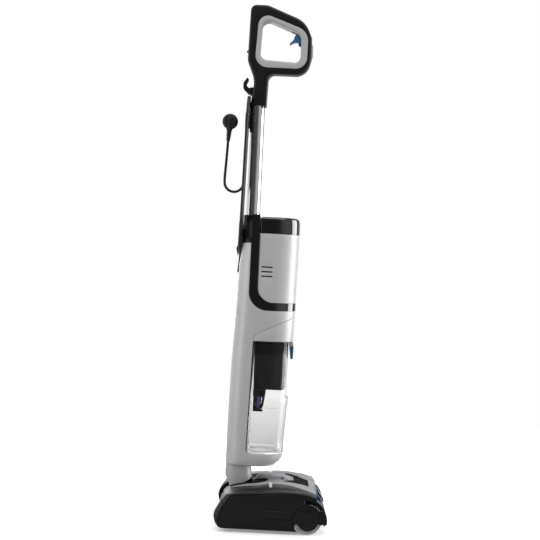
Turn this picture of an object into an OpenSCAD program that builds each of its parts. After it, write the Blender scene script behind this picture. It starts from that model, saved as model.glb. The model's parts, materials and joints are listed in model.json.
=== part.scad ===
/* [Overall] */
// Height from the floor to the top of the handle
total_h = 1171; // [1150:1:1190]
// Length of the floor head along the direction of travel
head_len = 247; // [246:1:249]
// Width of the floor head across the direction of travel
head_w = 264; // [262:1:270]
// Width of the upright body
body_w = 116; // [114:1:118]

/* [Floor head] */
// Radius of the brush roll over its fabric
brush_r = 31.5; // [30:0.5:31.5]
// Distance of the brush roll axis ahead of the head's middle
brush_x = 81; // [80.5:0.5:81.5]
// Radius of the rear wheels
wheel_r = 20; // [18:1:21]
// Height of the neck hinge above the floor
hinge_z = 62; // [60:1:63]
// Radius of the two hinge pins
hinge_pin_r = 5; // [4:0.5:6]

/* [Upright] */
// Outer radius of the chrome stick tube
stick_r = 16.5; // [16:0.1:16.5]
// Wall of the stick tube
stick_wall = 1.5; // [1:0.1:2]
// Wall of the moulded casings
wall = 2.5; // [2:0.1:3]
// Radius of the swivel post at the foot of the body
swivel_r = 22; // [20:0.5:23]

/* [Cord] */
// Diameter of the mains cord
cord_d = 6; // [5.8:0.1:6.2]
// Turns of the cord round the two hooks
cord_turns = 6.5; // [5.5:1:6.5]

/* [Hidden] */
$fn = 64;
eps = 0.01;
run_fit = 0.05;
gap = 0.3;
half_w = body_w / 2;
half_head = head_w / 2;
head_x = head_len / 2;
brush_z = brush_r;
hinge_x = -71;
swivel_x = -78;
stick_x = -71.4;
seam_z = 131;
post_top = 147;
wheel_x = -92;
shell_r = head_x - brush_x;
front_x = 98.5;

// Upright heights
tank_floor = 158;
tank_top = 411;
band_low = 480;
band_high = 497.5;
spine_top = 630;
cap_low = 652;
cap_high = 690;
collar_top = 694;
ferrule_low = 941;
stick_top = 943;
spigot_top = 972;
spigot_r = 12.5;
pod_front = 38;
pod_rear = -52.5;

// Cord hank: a flat spiral wound round two saddles, leaning back towards its foot
fold_r = 3 * cord_d + 0.5;
cord_pitch = cord_d + 0.1;
hank_r = fold_r + cord_pitch * cord_turns + cord_d / 2;
hank_top = 967;
hank_foot = 599;
saddle_high = hank_top - hank_r;
saddle_low = hank_foot + hank_r;
hank_x = -92.6;
hank_lean = 0.012;
function layer_x(z) = hank_x - (hank_top - z) * hank_lean;

// Route of the cord from its gland up to the hank's outer turn
lead_route = [[-96.5, 34, 590], [-96.5, 34.5, 599], [-96.4, 38, 611], [-96.3, 45, 623],
    [-96.3, 52, 635], [-96.3, 57, 647], [-96.3, 58, 658]];
// Route of the cord's end, from the hank's inner turn round to the plug
tail_route = [[-94.6, -18.5, 800], [-94.8, -18.5, 783], [-95.2, -18.5, 769], [-97.6, -18.5, 756],
    [-105.5, -18.5, 747], [-116.5, -18.5, 744], [-127.5, -18.5, 747], [-136, -18.5, 756],
    [-138.2, -18.5, 769], [-137.6, -18.5, 790], [-136.3, -18.5, 815], [-135.3, -18.5, 840],
    [-134.4, -18.5, 860]];

// ---- Outlines ----

function unit(v) = v / norm(v);

// Arc that rounds the corner b of the path a-b-c with radius r
function arc_points(a, b, c, r, n) =
    let (u = unit(a - b), v = unit(c - b),
        half = acos(max(-1, min(1, u * v))) / 2,
        centre = b + unit(u + v) * r / sin(half),
        p = b + u * r / tan(half),
        q = b + v * r / tan(half),
        from = atan2(p.y - centre.y, p.x - centre.x),
        swing = atan2(q.y - centre.y, q.x - centre.x) - from,
        turn = swing > 180 ? swing - 360 : swing < -180 ? swing + 360 : swing)
    [for (i = [0:n]) centre + r * [cos(from + turn * i / n), sin(from + turn * i / n)]];

function flat(c) = [c.x, c.y];

// Closed outline through corners [x, z, radius], each rounded with its own radius
function rounded(c, n = 8) =
    let (m = len(c))
    [for (i = [0:m - 1]) each c[i].z == 0 ? [flat(c[i])]
        : arc_points(flat(c[(i + m - 1) % m]), flat(c[i]), flat(c[(i + 1) % m]), c[i].z, n)];

// Quarter circle of points from the angle a
function corner(x, y, r, a, n = 12) =
    [for (i = [0:n]) [x, y] + r * [cos(a + 90 * i / n), sin(a + 90 * i / n)]];

// Sector of a circle, as a polygon
function sector(r, from, to, n = 16) =
    concat([[0, 0]], [for (i = [0:n]) let (a = from + (to - from) * i / n) r * [cos(a), sin(a)]]);

// ---- Shared shapes ----

// Stands an X-Z outline up between two Y planes
module side(y0, y1) {
    translate([0, y1, 0]) rotate([90, 0, 0]) linear_extrude(y1 - y0) children();
}

// Cylinder that lies across the machine
module across(x, z, r, y0, y1) {
    translate([x, y1, z]) rotate([90, 0, 0]) cylinder(r = r, h = y1 - y0);
}

// Cylinder that lies along the machine
module along(y, z, r, x0, x1) {
    translate([x0, y, z]) rotate([0, 90, 0]) cylinder(r = r, h = x1 - x0);
}

module box(x0, x1, y0, y1, z0, z1) {
    translate([x0, y0, z0]) cube([x1 - x0, y1 - y0, z1 - z0]);
}

// Rounded rectangle in plan, with its own radius at the rear and the front
module plan(x0, x1, w, rear_r, front_r) {
    rear = x0 + rear_r;
    front = x1 - front_r;
    y_rear = w / 2 - rear_r;
    y_front = w / 2 - front_r;
    polygon(concat(corner(rear, y_rear, rear_r, 90), corner(rear, -y_rear, rear_r, 180),
        corner(front, -y_front, front_r, 270), corner(front, y_front, front_r, 0)));
}

module prism(x0, x1, w, rear_r, front_r, z0, z1) {
    translate([0, 0, z0]) linear_extrude(z1 - z0) plan(x0, x1, w, rear_r, front_r);
}

module both_sides() {
    children();
    mirror([0, 1, 0]) children();
}

// Ring sector round the brush axis, standing between two Y planes
module brush_arc(r0, r1, from, to, y0, y1) {
    translate([brush_x, 0, brush_z]) side(y0, y1) difference() {
        intersection() {
            circle(r1);
            polygon(sector(2 * r1, from, to));
        }
        circle(r0);
    }
}

// Tube swept along a route, one ring of points per route point
module swept(route, d, sides = 8) {
    last = len(route) - 1;
    function tangent(i) = unit(route[min(i + 1, last)] - route[max(i - 1, 0)]);
    step = 360 / sides;
    rings = [for (i = [0:last]) let (t = tangent(i), u = unit(cross(t, [0, 1, 0.001])), v = cross(t, u))
        each [for (k = [0:sides - 1]) route[i] + d / 2 * (cos(k * step) * u + sin(k * step) * v)]];
    walls = [for (i = [0:last - 1], k = [0:sides - 1])
        let (a = i * sides + k, b = i * sides + (k + 1) % sides) [a, b, b + sides, a + sides]];
    ends = [[for (k = [sides - 1:-1:0]) k], [for (k = [0:sides - 1]) last * sides + k]];
    polyhedron(points = rings, faces = concat(walls, ends));
}

// ---- Floor head ----

// Crown of the head over the grey cover, front to rear
crown = [[-head_x + 3, 40], [-106.7, 73], [-96, 82.5], [-63, 91], [-19, 96.8], [19.6, 100],
    [47, 98], [76, 91], [front_x, 83.8]];
// Crown of the side covers where they drop to their outer face
shoulder = [[-head_x, 38], [-121.5, 20], [-113, 8.5], [-105, 6.5], [front_x, 6.5], [front_x, 70],
    [73, 80], [45, 86], [18, 88], [-19, 86], [-62, 81], [-94, 76], [-104, 70]];

module crown_skin(lift, thick, y0, y1) {
    side(y0, y1) polygon(concat([for (p = crown) p + [0, lift]],
        [for (i = [len(crown) - 1:-1:0]) crown[i] + [0, lift - thick]]));
}

module wheel_well(s) {
    box(wheel_x - wheel_r - 3, wheel_x + wheel_r + 3, s > 0 ? 75 : -101, s > 0 ? 101 : -75, 0, 45);
}

module base_chassis() {
    color([0.13, 0.13, 0.14]) difference() {
        union() {
            box(-114, 40, -104, 104, 10, 13);
            both_sides() box(-115, -112, 42, 104, 10, 42);
            both_sides() box(-112, 40, 101.5, 104, 12, 60);
            box(37, 40, -104, 104, 10, 52);
            box(37, 44.5, -104, 104, 36, 44);
            brush_arc(37.5, 40.2, 78, 168, -104, 104);
            both_sides() side(42, 50) polygon(rounded([[-92, 10, 0], [-92, 60, 0],
                [hinge_x - 4, hinge_z + 16, 12], [hinge_x + 18, hinge_z + 10, 12], [-40, 10, 0]]));
            both_sides() side(69, 74.5) polygon([[-104, 10], [-104, 32], [-80, 32], [-80, 10]]);
        }
        both_sides() wheel_well(1);
        both_sides() across(hinge_x, hinge_z, hinge_pin_r, 30, 60);
        both_sides() across(wheel_x, wheel_r, 3, 60, 105);
        box(-101, -42, -40.5, 40.5, 9, 14);
        box(36, 46, -36, 36, 15, 35.5);
    }
}

module bottom_plate() {
    color([0.16, 0.16, 0.17]) difference() {
        prism(-112, 48.8, 206, 8, 3, 6, 9.9);
        both_sides() wheel_well(1);
        both_sides() for (x = [-60, 20]) translate([x, 90, 0]) cylinder(r = 2, h = 20);
    }
}

module skid_pads() {
    color([0.2, 0.2, 0.2]) both_sides() translate([-25, 62, 0]) linear_extrude(5.9) plan(-15, 15, 20, 8, 8);
}

module top_cover() {
    color([0.62, 0.63, 0.64]) difference() {
        union() {
            crown_skin(0, 3, -60, 60);
            side(-25, 25) polygon([[-36, 94], [-30, 106], [27, 106.5], [35, 101], [39, 97]]);
        }
        box(-130, -44, -41, 41, 30, 110);
        side(-23, 23) polygon([[-32, 90], [-27, 102], [25, 102.5], [34, 94]]);
    }
}

// Dark inlays let into the cover: a rear lens, a front lens and a slanted window
module cover_inlays() {
    color([0.06, 0.06, 0.065]) both_sides() {
        lens(-84, -30, 43, 56, 8);
        lens(20, 50, 47, 57, 8);
        intersection() {
            crown_skin(0.9, 0.88, 30, 58);
            translate([0, 0, 60]) linear_extrude(60) polygon([[56, 32], [86, 40], [86, 54], [56, 46]]);
        }
    }
}

module lens(x0, x1, y0, y1, r) {
    intersection() {
        crown_skin(0.9, 0.88, y0, y1);
        translate([0, 0, 60]) linear_extrude(60)
            polygon(rounded([[x0, y1, 1], [(x0 + x1) / 2, y1 + 1, 20], [x1, y1, 1], [(x0 + x1) / 2, y0, r]]));
    }
}

// Half of the head's outer casing, as far in as the grey cover
module side_block(inset) {
    top = [for (p = crown) p - [0, inset]];
    foot = 6.5 + inset * 0.5;
    hull() {
        side(60.2, 62) polygon(concat(top, [[front_x - inset, foot + 10], [-105, foot + 10]]));
        side(108, 110) polygon([for (p = shoulder)
            [p.x * (1 - inset / 100), max(foot, p.y + (p.y > 60 ? 8 : 0) - inset)]]);
        side(half_head - 3 - inset, half_head - 1 - inset) polygon([for (p = shoulder)
            [p.x * (1 - inset / 100), max(foot, p.y - inset)]]);
    }
}

module side_cover(open_for_roller) {
    difference() {
        side_block(0);
        side_block(3);
        box(-130, 102, 50, 105, -1, 60);
        box(-113, 102, 50, 124, -1, 10);
        across(brush_x, brush_z, open_for_roller ? 33.5 : 40.4, 50, open_for_roller ? 140 : 120);
        translate([brush_x, 0, brush_z]) side(50, open_for_roller ? 140 : 110)
            polygon(sector(shell_r + 1, -80, open_for_roller ? 103 : 74));
        box(-128, -41, 50, 60, 0, 120);
    }
    // Long pad that swells out of the panel as far as the hub
    side(half_head - 1.5, half_head) polygon(rounded([[-18, 31, 8], [45, 31, 0], [45, 50, 0], [-18, 50, 8]]));
}

module right_side_cover() {
    color([0.09, 0.09, 0.1]) mirror([0, 1, 0]) side_cover(true);
}

module left_side_cover() {
    color([0.09, 0.09, 0.1]) {
        side_cover(false);
        brush_arc(4, shell_r, -40, 100, 120.3, half_head);
        brush_arc(4, 32, 99, 321, 120.3, half_head - 1);
    }
}

module front_bumper() {
    color([0.08, 0.08, 0.09]) brush_arc(39.8, 41.6, -30, 9, -107, 107);
}

module front_window() {
    color([0.85, 0.9, 0.93, 0.5]) {
        brush_arc(39.9, shell_r - 0.8, 10, 62.5, -105.5, 105.5);
        side(-105.5, 105.5) polygon([[99.2, 66.7], [100.3, 68], [102, 82], [99.2, 82]]);
    }
}

module window_latch() {
    color([0.05, 0.1, 0.22]) brush_arc(shell_r - 0.5, shell_r + 2.4, 27, 57, -15, 15);
}

module squeegee() {
    color([0.1, 0.1, 0.1]) {
        box(49, 54, -104, 104, 6.2, 10);
        box(52.5, 54, -104, 104, 0.4, 6.2);
    }
}

module hinge_pins() {
    color([0.7, 0.7, 0.72]) both_sides() {
        across(hinge_x, hinge_z, hinge_pin_r, 31, 50);
        across(hinge_x, hinge_z, hinge_pin_r + 3, 50, 52);
    }
}

module wheel_axles() {
    color([0.7, 0.7, 0.72]) both_sides() {
        across(wheel_x, wheel_r, 3, 69, 101);
        across(wheel_x, wheel_r, 5, 67, 69);
    }
}

module base_screws() {
    color([0.6, 0.6, 0.62]) both_sides() for (x = [-60, 20]) translate([x, 90, 0]) {
        translate([0, 0, 6]) cylinder(r = 2 - eps, h = 3.9);
        translate([0, 0, 4.4]) cylinder(r = 3.6, h = 1.6);
    }
}

module wheel() {
    color([0.12, 0.12, 0.12]) difference() {
        union() {
            difference() {
                across(wheel_x, wheel_r, wheel_r, 80, 96);
                across(wheel_x, wheel_r, wheel_r - 4, 92, 97);
                across(wheel_x, wheel_r, wheel_r - 4, 79, 84);
            }
            across(wheel_x, wheel_r, 8, 77.5, 98.5);
        }
        across(wheel_x, wheel_r, 3 + run_fit, 70, 110);
    }
}

module left_wheel() {
    wheel();
}

module right_wheel() {
    mirror([0, 1, 0]) wheel();
}

module brush_core() {
    color([0.25, 0.26, 0.28]) difference() {
        across(brush_x, brush_z, 24, -123, 104);
        across(brush_x, brush_z, 21.5, -112, 94);
        across(brush_x, brush_z, 5 + run_fit, -124, -110);
        across(brush_x, brush_z, 12.3, 90, 105);
    }
}

module brush_sleeve() {
    color([0.45, 0.46, 0.47]) difference() {
        across(brush_x, brush_z, brush_r, -124, 104);
        across(brush_x, brush_z, 24, -125, 105);
    }
}

module roller_end_cap() {
    color([0.07, 0.07, 0.075]) {
        across(brush_x, brush_z, 22.6, -half_head, -124.4);
        across(brush_x, brush_z, 5, -124.6, -112);
        brush_arc(22, 33, -16, 199, -129.5, -126);
        for (a = [-10:13:94]) {
            brush_arc(22.3, shell_r, a - 2.2, a + 2.2, -half_head + 1, -126);
            brush_arc(33.2, shell_r, a - 2.2, a + 2.2, -126 - eps, -112);
        }
        brush_arc(shell_r - 2.2, shell_r, -20, 100, -half_head + 1, -110);
    }
}

module brush_drive_hub() {
    color([0.75, 0.74, 0.7]) {
        across(brush_x, brush_z, 12, 94.5, 107);
        across(brush_x, brush_z, 15, 107, 117);
    }
}

motor_x = 30;
motor_z = 74;

module motor_pulley() {
    color([0.75, 0.74, 0.7]) {
        across(motor_x, motor_z, 8, 107, 117);
        across(motor_x, motor_z, 3, 60.5, 107);
    }
}

// Belt round the two pulleys, a hair clear of both
module drive_belt() {
    run = norm([brush_x - motor_x, brush_z - motor_z]);
    tilt = atan2(brush_z - motor_z, brush_x - motor_x);
    color([0.1, 0.1, 0.1]) translate([motor_x, 0, motor_z]) rotate([0, -tilt, 0])
        side(108, 116) difference() {
            belt_outline(run, 9.7, 16.7);
            belt_outline(run, 8.2, 15.2);
        }
}

module belt_outline(run, r0, r1) {
    hull() {
        circle(r0);
        translate([run, 0]) circle(r1);
    }
}

module brush_motor() {
    color([0.6, 0.6, 0.62]) difference() {
        union() {
            across(motor_x, motor_z, 15, 10, 100);
            box(18, 36, 20, 92, 52.2, 66);
        }
        across(motor_x, motor_z, 3 + run_fit, 60, 101);
    }
}

module spray_bar() {
    color([0.8, 0.8, 0.82]) {
        across(68, 81, 3.5, -90, 90);
        for (y = [-75:30:75]) translate([68, y, 81]) rotate([0, 150, 0]) cylinder(r = 2, h = 6);
    }
}

module suction_duct() {
    color([0.2, 0.2, 0.22]) difference() {
        box(-40, 36.9, -38, 38, 13.1, 38);
        box(-41, 37, -36, 36, 15, 35.5);
    }
}

// ---- Neck ----

module neck_shell() {
    color([0.66, 0.67, 0.68]) difference() {
        hull() {
            prism(-106, -50, 76, 24, 24, seam_z - 10, seam_z - gap);
            prism(-106, -46, 72, 24, 20, 103, 110);
            across(hinge_x, hinge_z + 1, 25, -29.5, 29.5);
        }
        hull() {
            prism(-102.5, -53.5, 68, 21, 20, seam_z - 20, seam_z);
            across(hinge_x, hinge_z + 4, 20, -26.5, 26.5);
        }
        across(hinge_x, hinge_z, 12.05, -40, 40);
        box(-110, -40, -20, 20, 30, 50);
    }
}

// Barrel on the hinge pins and the hollow post that the body turns on
module neck_core() {
    color([0.3, 0.3, 0.32]) difference() {
        union() {
            across(hinge_x, hinge_z, 11.9, -41.5, 41.5);
            translate([swivel_x, 0, 80]) cylinder(r = swivel_r - 5.5, h = seam_z - 80);
            box(-84, -61, -20, 20, 66, 82);
            translate([swivel_x, 0, seam_z - 12]) cylinder(r = swivel_r, h = post_top - seam_z + 12);
        }
        both_sides() across(hinge_x, hinge_z, hinge_pin_r + run_fit, 30.9, 42);
        translate([swivel_x, 0, 60]) cylinder(r = 14, h = 100);
    }
}

// ---- Upright body ----

// Side outline of the C-shaped body: spine, bridge over the tank and foot under it
body_outline = [[-105.5, seam_z, 3], [-105.5, 225, 0], [-103, 376, 0], [-97.6, 500, 0], [-95.8, 583, 0],
    [-92.6, 604, 0], [-92.2, spine_top, 2], [-70.5, spine_top, 0], [-71, band_low, 42],
    [35.5, band_low, 0], [34, 466.5, 0], [-47.5, 430, 4], [-56.5, 420, 4], [-62.3, tank_floor - gap, 0],
    [22.5, tank_floor - gap, 2], [20, 149, 4], [6, seam_z, 8]];

module body_plan(inset, z0, z1) {
    prism(-105.5 + inset, 35.5 - inset, body_w - 2 * inset, 34, 52, z0, z1);
}

module clean_bay(grow) {
    box(-120, -74.5 + grow, -46 - grow, 46 + grow, 165 - grow, 470 + grow);
}

module main_body() {
    color([0.68, 0.69, 0.7]) difference() {
        intersection() {
            union() {
                side(-60, 60) polygon(rounded(body_outline));
                prism(-50, 30.4, body_w - 9, 2, 49.5, 470, band_high);
            }
            body_plan(0, 100, 700);
        }
        clean_bay(0);
        box(-73, -66.5, -32, 32, 150, 474);
        box(-88, -74, -48, 48, 486, spine_top - 12);
        prism(-64, 27, body_w - 16, 8, 46, 474, band_high - 3);
        box(-26, 18, -38, 38, 456, 476);
        translate([swivel_x, 0, 100]) cylinder(r = 28, h = 48);
        box(-120, -90.9, 26, 62, 560, 640);
        box(-40, 0, -38, 38, 134, 154);
    }
}

module swivel_bearing() {
    color([0.85, 0.85, 0.82]) difference() {
        translate([swivel_x, 0, seam_z + gap]) cylinder(r = 28, h = 15);
        translate([swivel_x, 0, 100]) cylinder(r = swivel_r + run_fit, h = 60);
    }
}

module riser_duct() {
    color([0.25, 0.25, 0.27]) difference() {
        box(-72.8, -66.7, -31.8, 31.8, 150.5, 473.5);
        box(-71.6, -67.9, -30.5, 30.5, 140, 480);
    }
}

pod_outline = [[pod_rear, cap_low - 0.3, 0], [pod_front - 0.2, cap_low - 0.3, 0],
    [35.6, band_high + 0.1, 0], [-53, band_high + 0.1, 34]];

module pod_block(inset) {
    intersection() {
        side(-60, 60) polygon(rounded(pod_outline));
        prism(pod_rear - 1 + inset, pod_front - inset, 113 - 2 * inset, 6 - inset, 54 - inset,
            490 + inset, 700);
    }
}

module pod_shell() {
    color([0.72, 0.73, 0.74]) difference() {
        pod_block(0);
        translate([0, 0, wall]) pod_block(wall);
        for (z = [556.5, 566.5, 577]) box(-45.5, -20, -70, 70, z - 1.5, z + 1.5);
    }
}

module pod_cap() {
    color([0.05, 0.05, 0.055]) difference() {
        intersection() {
            side(-60, 60) polygon(rounded([[pod_rear, cap_low, 0], [pod_front, cap_low, 0],
                [pod_front - 1, cap_high - 0.5, 10], [pod_rear, cap_high, 3]]));
            prism(pod_rear - 1, pod_front, 113.6, 6, 54, cap_low - 1, cap_high + 1);
        }
        prism(pod_rear + 3, pod_front - 4, 106, 4, 50, cap_low - 1, cap_high - 8);
    }
}

module trim_band() {
    color([0.05, 0.05, 0.055]) difference() {
        intersection() {
            side(-60, 60) polygon(rounded([[-70.3, collar_top, 2], [-70.8, band_low + 0.2, 42],
                [36, band_low + 0.2, 0], [36, band_high, 0], [-53.2, band_high, 34],
                [-52.9, collar_top, 2]]));
            prism(-71, 36.2, body_w + 1.4, 2, 54, 400, 800);
        }
        prism(-80, 31, body_w - 8, 2, 50, 400, 800);
    }
}

module tube_collar() {
    color([0.08, 0.08, 0.085]) difference() {
        hull() {
            prism(-92, -53.3, body_w - 9, 26, 8, spine_top + 0.1, spine_top + 6);
            translate([stick_x, 0, collar_top - 4]) cylinder(r = 20.4, h = 4);
        }
        translate([stick_x, 0, 600]) cylinder(r = stick_r + 0.1, h = 100);
        box(-53.3, -40, -60, 60, 600, 700);
    }
}

module stick_tube() {
    color([0.75, 0.76, 0.78]) translate([stick_x, 0, 0]) difference() {
        union() {
            translate([0, 0, spine_top + 1]) cylinder(r = stick_r, h = stick_top - spine_top - 1);
            translate([0, 0, stick_top - 1]) cylinder(r = spigot_r, h = spigot_top - stick_top + 1);
        }
        translate([0, 0, spine_top]) cylinder(r = stick_r - stick_wall, h = stick_top - spine_top - 2);
        translate([0, 0, spine_top]) cylinder(r = spigot_r - stick_wall, h = spigot_top - spine_top + 1);
    }
}

module suction_motor() {
    color([0.55, 0.56, 0.58]) difference() {
        translate([-8, 0, 526]) cylinder(r = 38, h = 72);
        translate([-8, 0, 500]) cylinder(r = 4 + run_fit, h = 120);
    }
}

module impeller() {
    color([0.8, 0.8, 0.82]) {
        translate([-8, 0, 530]) cylinder(r = 4, h = 78);
        translate([-8, 0, 604]) cylinder(r = 36, h = 2);
        for (a = [0:45:315]) translate([-8, 0, 606 - eps]) rotate([0, 0, a]) translate([8, -1, 0])
            cube([27, 2, 9]);
        translate([-8, 0, 605]) cylinder(r = 10, h = 10);
    }
}

module motor_filter() {
    color([0.9, 0.9, 0.88]) translate([0, 0, 502]) cylinder(r = 31, h = 14);
}

module water_pump() {
    color([0.3, 0.3, 0.32]) {
        box(-20, 5, -30, -5, 457, 474);
        along(-18, 466, 6, 5 - eps, 17);
    }
}

// ---- Handle ----

handle_outline = [[-97, total_h, 14], [-58, total_h, 30], [27, 1138, 55], [45, 1102, 70], [46, 1052, 60],
    [38, 1015.5, 34], [-49, 1015, 15], [-51, ferrule_low, 0], [-88.5, ferrule_low, 2], [-81, 1000, 60],
    [-99, 1044, 20]];
ring_outline = [[-77, 1155, 22], [36, 1115, 34], [35.5, 1029, 26], [-83, 1029, 28]];
grip_opening = [[-68, 1142, 16], [20.3, 1107, 20], [20.3, 1042.5, 14], [-71, 1047, 16]];
pivot = [27, 1098];

module handle_block(y0, y1) {
    difference() {
        side(y0, y1) difference() {
            polygon(rounded(handle_outline));
            polygon(rounded(ring_outline));
        }
        translate([stick_x, 0, 900]) cylinder(r = stick_r, h = stick_top - 900);
        translate([stick_x, 0, 900]) cylinder(r = spigot_r, h = spigot_top - 900);
        box(36.5, 60, -8, 8, 1094.7, 1108);
        box(41.5, 60, -12, 12, 1045, 1092);
    }
}

module right_handle_shell() {
    color([0.1, 0.1, 0.105]) handle_block(-19, 0);
}

module left_handle_shell() {
    color([0.1, 0.1, 0.105]) handle_block(0, 19);
}

module grip_ring() {
    color([0.66, 0.67, 0.68]) difference() {
        side(-19.6, 19.6) difference() {
            polygon(rounded(ring_outline));
            polygon(rounded(grip_opening));
        }
        side(-8.5, 8.5) polygon([[-1, 1110], [-1, 1122], [12, 1118], [33.5, 1108], [33.5, 1076],
            [16, 1076], [16, 1100]]);
        across(pivot.x, pivot.y, 2 + run_fit, -12, 12);
    }
}

// Curved lever with a beak, on its own pin
module trigger() {
    color([0.16, 0.38, 0.55]) {
        side(-7.5, 7.5) polygon(rounded([[7, 1107.5, 2], [2, 1095, 5], [-5.5, 1087.5, 0.6], [-3, 1086, 0.6],
            [6, 1091, 8], [14, 1089, 3], [18, 1083, 0.8], [22, 1085, 2], [31, 1094, 3], [30.5, 1103, 3],
            [20, 1110.5, 4]], 4));
        across(pivot.x, pivot.y, 2, -11.5, 11.5);
    }
}

module control_panel() {
    color([0.6, 0.61, 0.62]) difference() {
        side(-11.8, 11.8) polygon(rounded([[41.7, 1045.2, 0], [46, 1047, 2], [48.8, 1062, 14],
            [48.4, 1080, 10], [45.5, 1091.6, 2], [41.7, 1091.8, 0]]));
        box(44.5, 60, -7.3, 7.3, 1058.7, 1073.3);
    }
}

module power_button() {
    color([0.62, 0.63, 0.65]) side(-7.6, 7.6) polygon(rounded([[39, 1095, 0], [46.4, 1095, 1.5],
        [45.8, 1101, 4], [43.6, 1107.6, 1.5], [39, 1107.6, 0]]));
}

module mode_button() {
    color([0.3, 0.55, 0.75]) box(46.6, 49.3, -7, 7, 1059, 1073);
}

// ---- Hooks and cord ----

module upper_hook() {
    drum = layer_x(saddle_high);
    color([0.06, 0.06, 0.065]) {
        box(-89.3, -88.1, -9, 9, saddle_high - 14, 986);
        along(0, saddle_high, fold_r - cord_d / 2 - 0.5, drum - 3.3, -89.2);
        along(0, saddle_high, fold_r + 3, drum - 4.8, drum - 3.3);
        side(-9, 9) polygon(rounded([[-85.65, 966, 0], [-89, 966, 0], [-89, 968.4, 0], [-94, 968.4, 4],
            [-106.5, 980, 12], [-106.5, 994, 8], [-97.5, 1007, 1.5], [-94, 1001, 2], [-98.5, 992, 4],
            [-98.8, 987.5, 5], [-93.5, 982, 5], [-83.3, 984.5, 0]]));
    }
}

// Turning hook: a saddle with a tongue that holds the turns in
module lower_hook() {
    drum = layer_x(saddle_low);
    color([0.06, 0.06, 0.065]) {
        along(0, saddle_low, fold_r - cord_d / 2 - 0.5, drum - 3.3, -92.4);
        along(0, saddle_low, fold_r + 1, drum - 4.8, drum - 3.3);
        side(-8, 8) polygon([[drum - 3.4, saddle_low], [drum - 4.8, saddle_low], [-102, 624], [-104.8, 617],
            [-101, 600], [-100.4, 600], [-100.4, 618]]);
    }
}

module cord_hank() {
    h = saddle_high - saddle_low;
    color([0.05, 0.05, 0.05]) translate([layer_x(saddle_low), 0, saddle_low])
        rotate([0, atan(hank_lean), 0]) translate([-cord_d / 2, 0, 0]) rotate([0, 90, 0])
            linear_extrude(cord_d) difference() {
                hank_outline(h, hank_r);
                hank_outline(h, fold_r - cord_d / 2);
            }
}

module hank_outline(h, r) {
    circle(r);
    translate([-h, 0]) circle(r);
    translate([-h, -r]) square([h, 2 * r]);
}

module cord_gland() {
    color([0.07, 0.07, 0.07]) {
        translate([-96.5, 34, 562]) cylinder(r1 = 5.5, r2 = 3.6, h = 28);
        box(-96.5, -91, 30, 38, 562.1, 570);
    }
}

module cord_lead() {
    color([0.05, 0.05, 0.05]) swept(lead_route, cord_d);
}

module cord_tail() {
    color([0.05, 0.05, 0.05]) swept(tail_route, cord_d);
}

// Middle of the plug's round body
plug_at = [-132, -18.5, 903];

// Round side-entry plug: body, back rib, tapered relief and two pins
module plug() {
    foot = tail_route[len(tail_route) - 1];
    lean = atan2(plug_at.x - foot.x, plug_at.z - foot.z);
    color([0.08, 0.08, 0.08]) {
        translate([plug_at.x, -8, plug_at.z]) rotate([90, 0, 0]) cylinder(r = 17.8, h = 17);
        translate([plug_at.x, -25 + eps, plug_at.z]) rotate([90, 0, 0]) cylinder(r1 = 17.8, r2 = 14.5, h = 4);
        translate(foot) rotate([0, lean, 0]) cylinder(r1 = 4.2, r2 = 7, h = 30);
    }
    color([0.75, 0.75, 0.76]) for (s = [-1, 1])
        translate([plug_at.x + 9.5 * s, 11, plug_at.z]) rotate([90, 0, 0]) cylinder(r = 2.4, h = 20);
}

// ---- Dirty water tank ----

module bin_block(inset, low, high) {
    hull() {
        prism(-61.8 + inset, 22.5 - inset, 112 - 2 * inset, 8, 46, low + 5, low + 6);
        prism(-57 + inset, 22.5 - inset, 102 - 2 * inset, 8, 42, low, low + 1);
        prism(-59.4 + inset, 28.5 - inset, 112 - 2 * inset, 8, 50, 276, 277);
        prism(-56.3 + inset, 30 - inset, 112 - 2 * inset, 8, 50, high - 1, high);
    }
}

// The bin steps back here to leave room for the fingers behind the latch
bin_step = 23;

module tank_bin() {
    color([0.87, 0.89, 0.88, 0.4]) difference() {
        bin_block(0, tank_floor, tank_top);
        box(bin_step, 40, -60, 60, 284, 420);
        difference() {
            bin_block(wall, tank_floor + wall, tank_top + 1);
            box(bin_step - wall, 40, -60, 60, 284 - wall, 420);
        }
    }
}

module tank_lid() {
    color([0.7, 0.71, 0.72]) difference() {
        union() {
            intersection() {
                side(-60, 60) polygon(rounded([[-56, tank_top + 0.1, 0], [34, tank_top + 0.1, 0],
                    [34, 465, 0], [-47, 429, 3], [-56, 419.3, 3]]));
                prism(-57, 34.5, body_w - 0.6, 8, 51, 400, 500);
            }
            both_sides() box(25.2, 33, 16.4, 19.5, 400, tank_top + 1);
        }
        box(-42, 16, -40, 40, tank_top, tank_top + 10);
        across(29, 405, 2 + run_fit, -22, 22);
    }
}

float_x = -38;

module tank_insert() {
    color([0.12, 0.12, 0.13]) {
        difference() {
            box(-34, 17, -31, 31, 301, tank_top - 0.2);
            box(-31, 14, -28, 28, 300, tank_top - 10);
        }
        box(-50, -34 + eps, -14, 14, 306, tank_top - 0.2);
        both_sides() box(-49, -27, 11, 13, 251, 306 + eps);
        box(-49, -27, -13, 13, 249, 251 + eps);
        translate([float_x, 0, 250]) cylinder(r = 2, h = 57);
    }
}

module float() {
    color([0.2, 0.12, 0.3]) difference() {
        translate([float_x, 0, 251.2]) cylinder(r = 9.5, h = 32);
        translate([float_x, 0, 240]) cylinder(r = 2 + run_fit, h = 60);
    }
}

module tank_latch() {
    color([0.08, 0.2, 0.38]) {
        side(-16, 16) polygon(rounded([[25.8, 409.2, 0.5], [34, 409.2, 1.5], [36, 396, 8], [34.8, 371.5, 1.2],
            [29.5, 371.5, 1], [27.5, 388, 6], [25.8, 400, 0.5]], 4));
        across(29, 405, 2, -19.2, 19.2);
    }
}

// ---- Clean water tank ----

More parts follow.
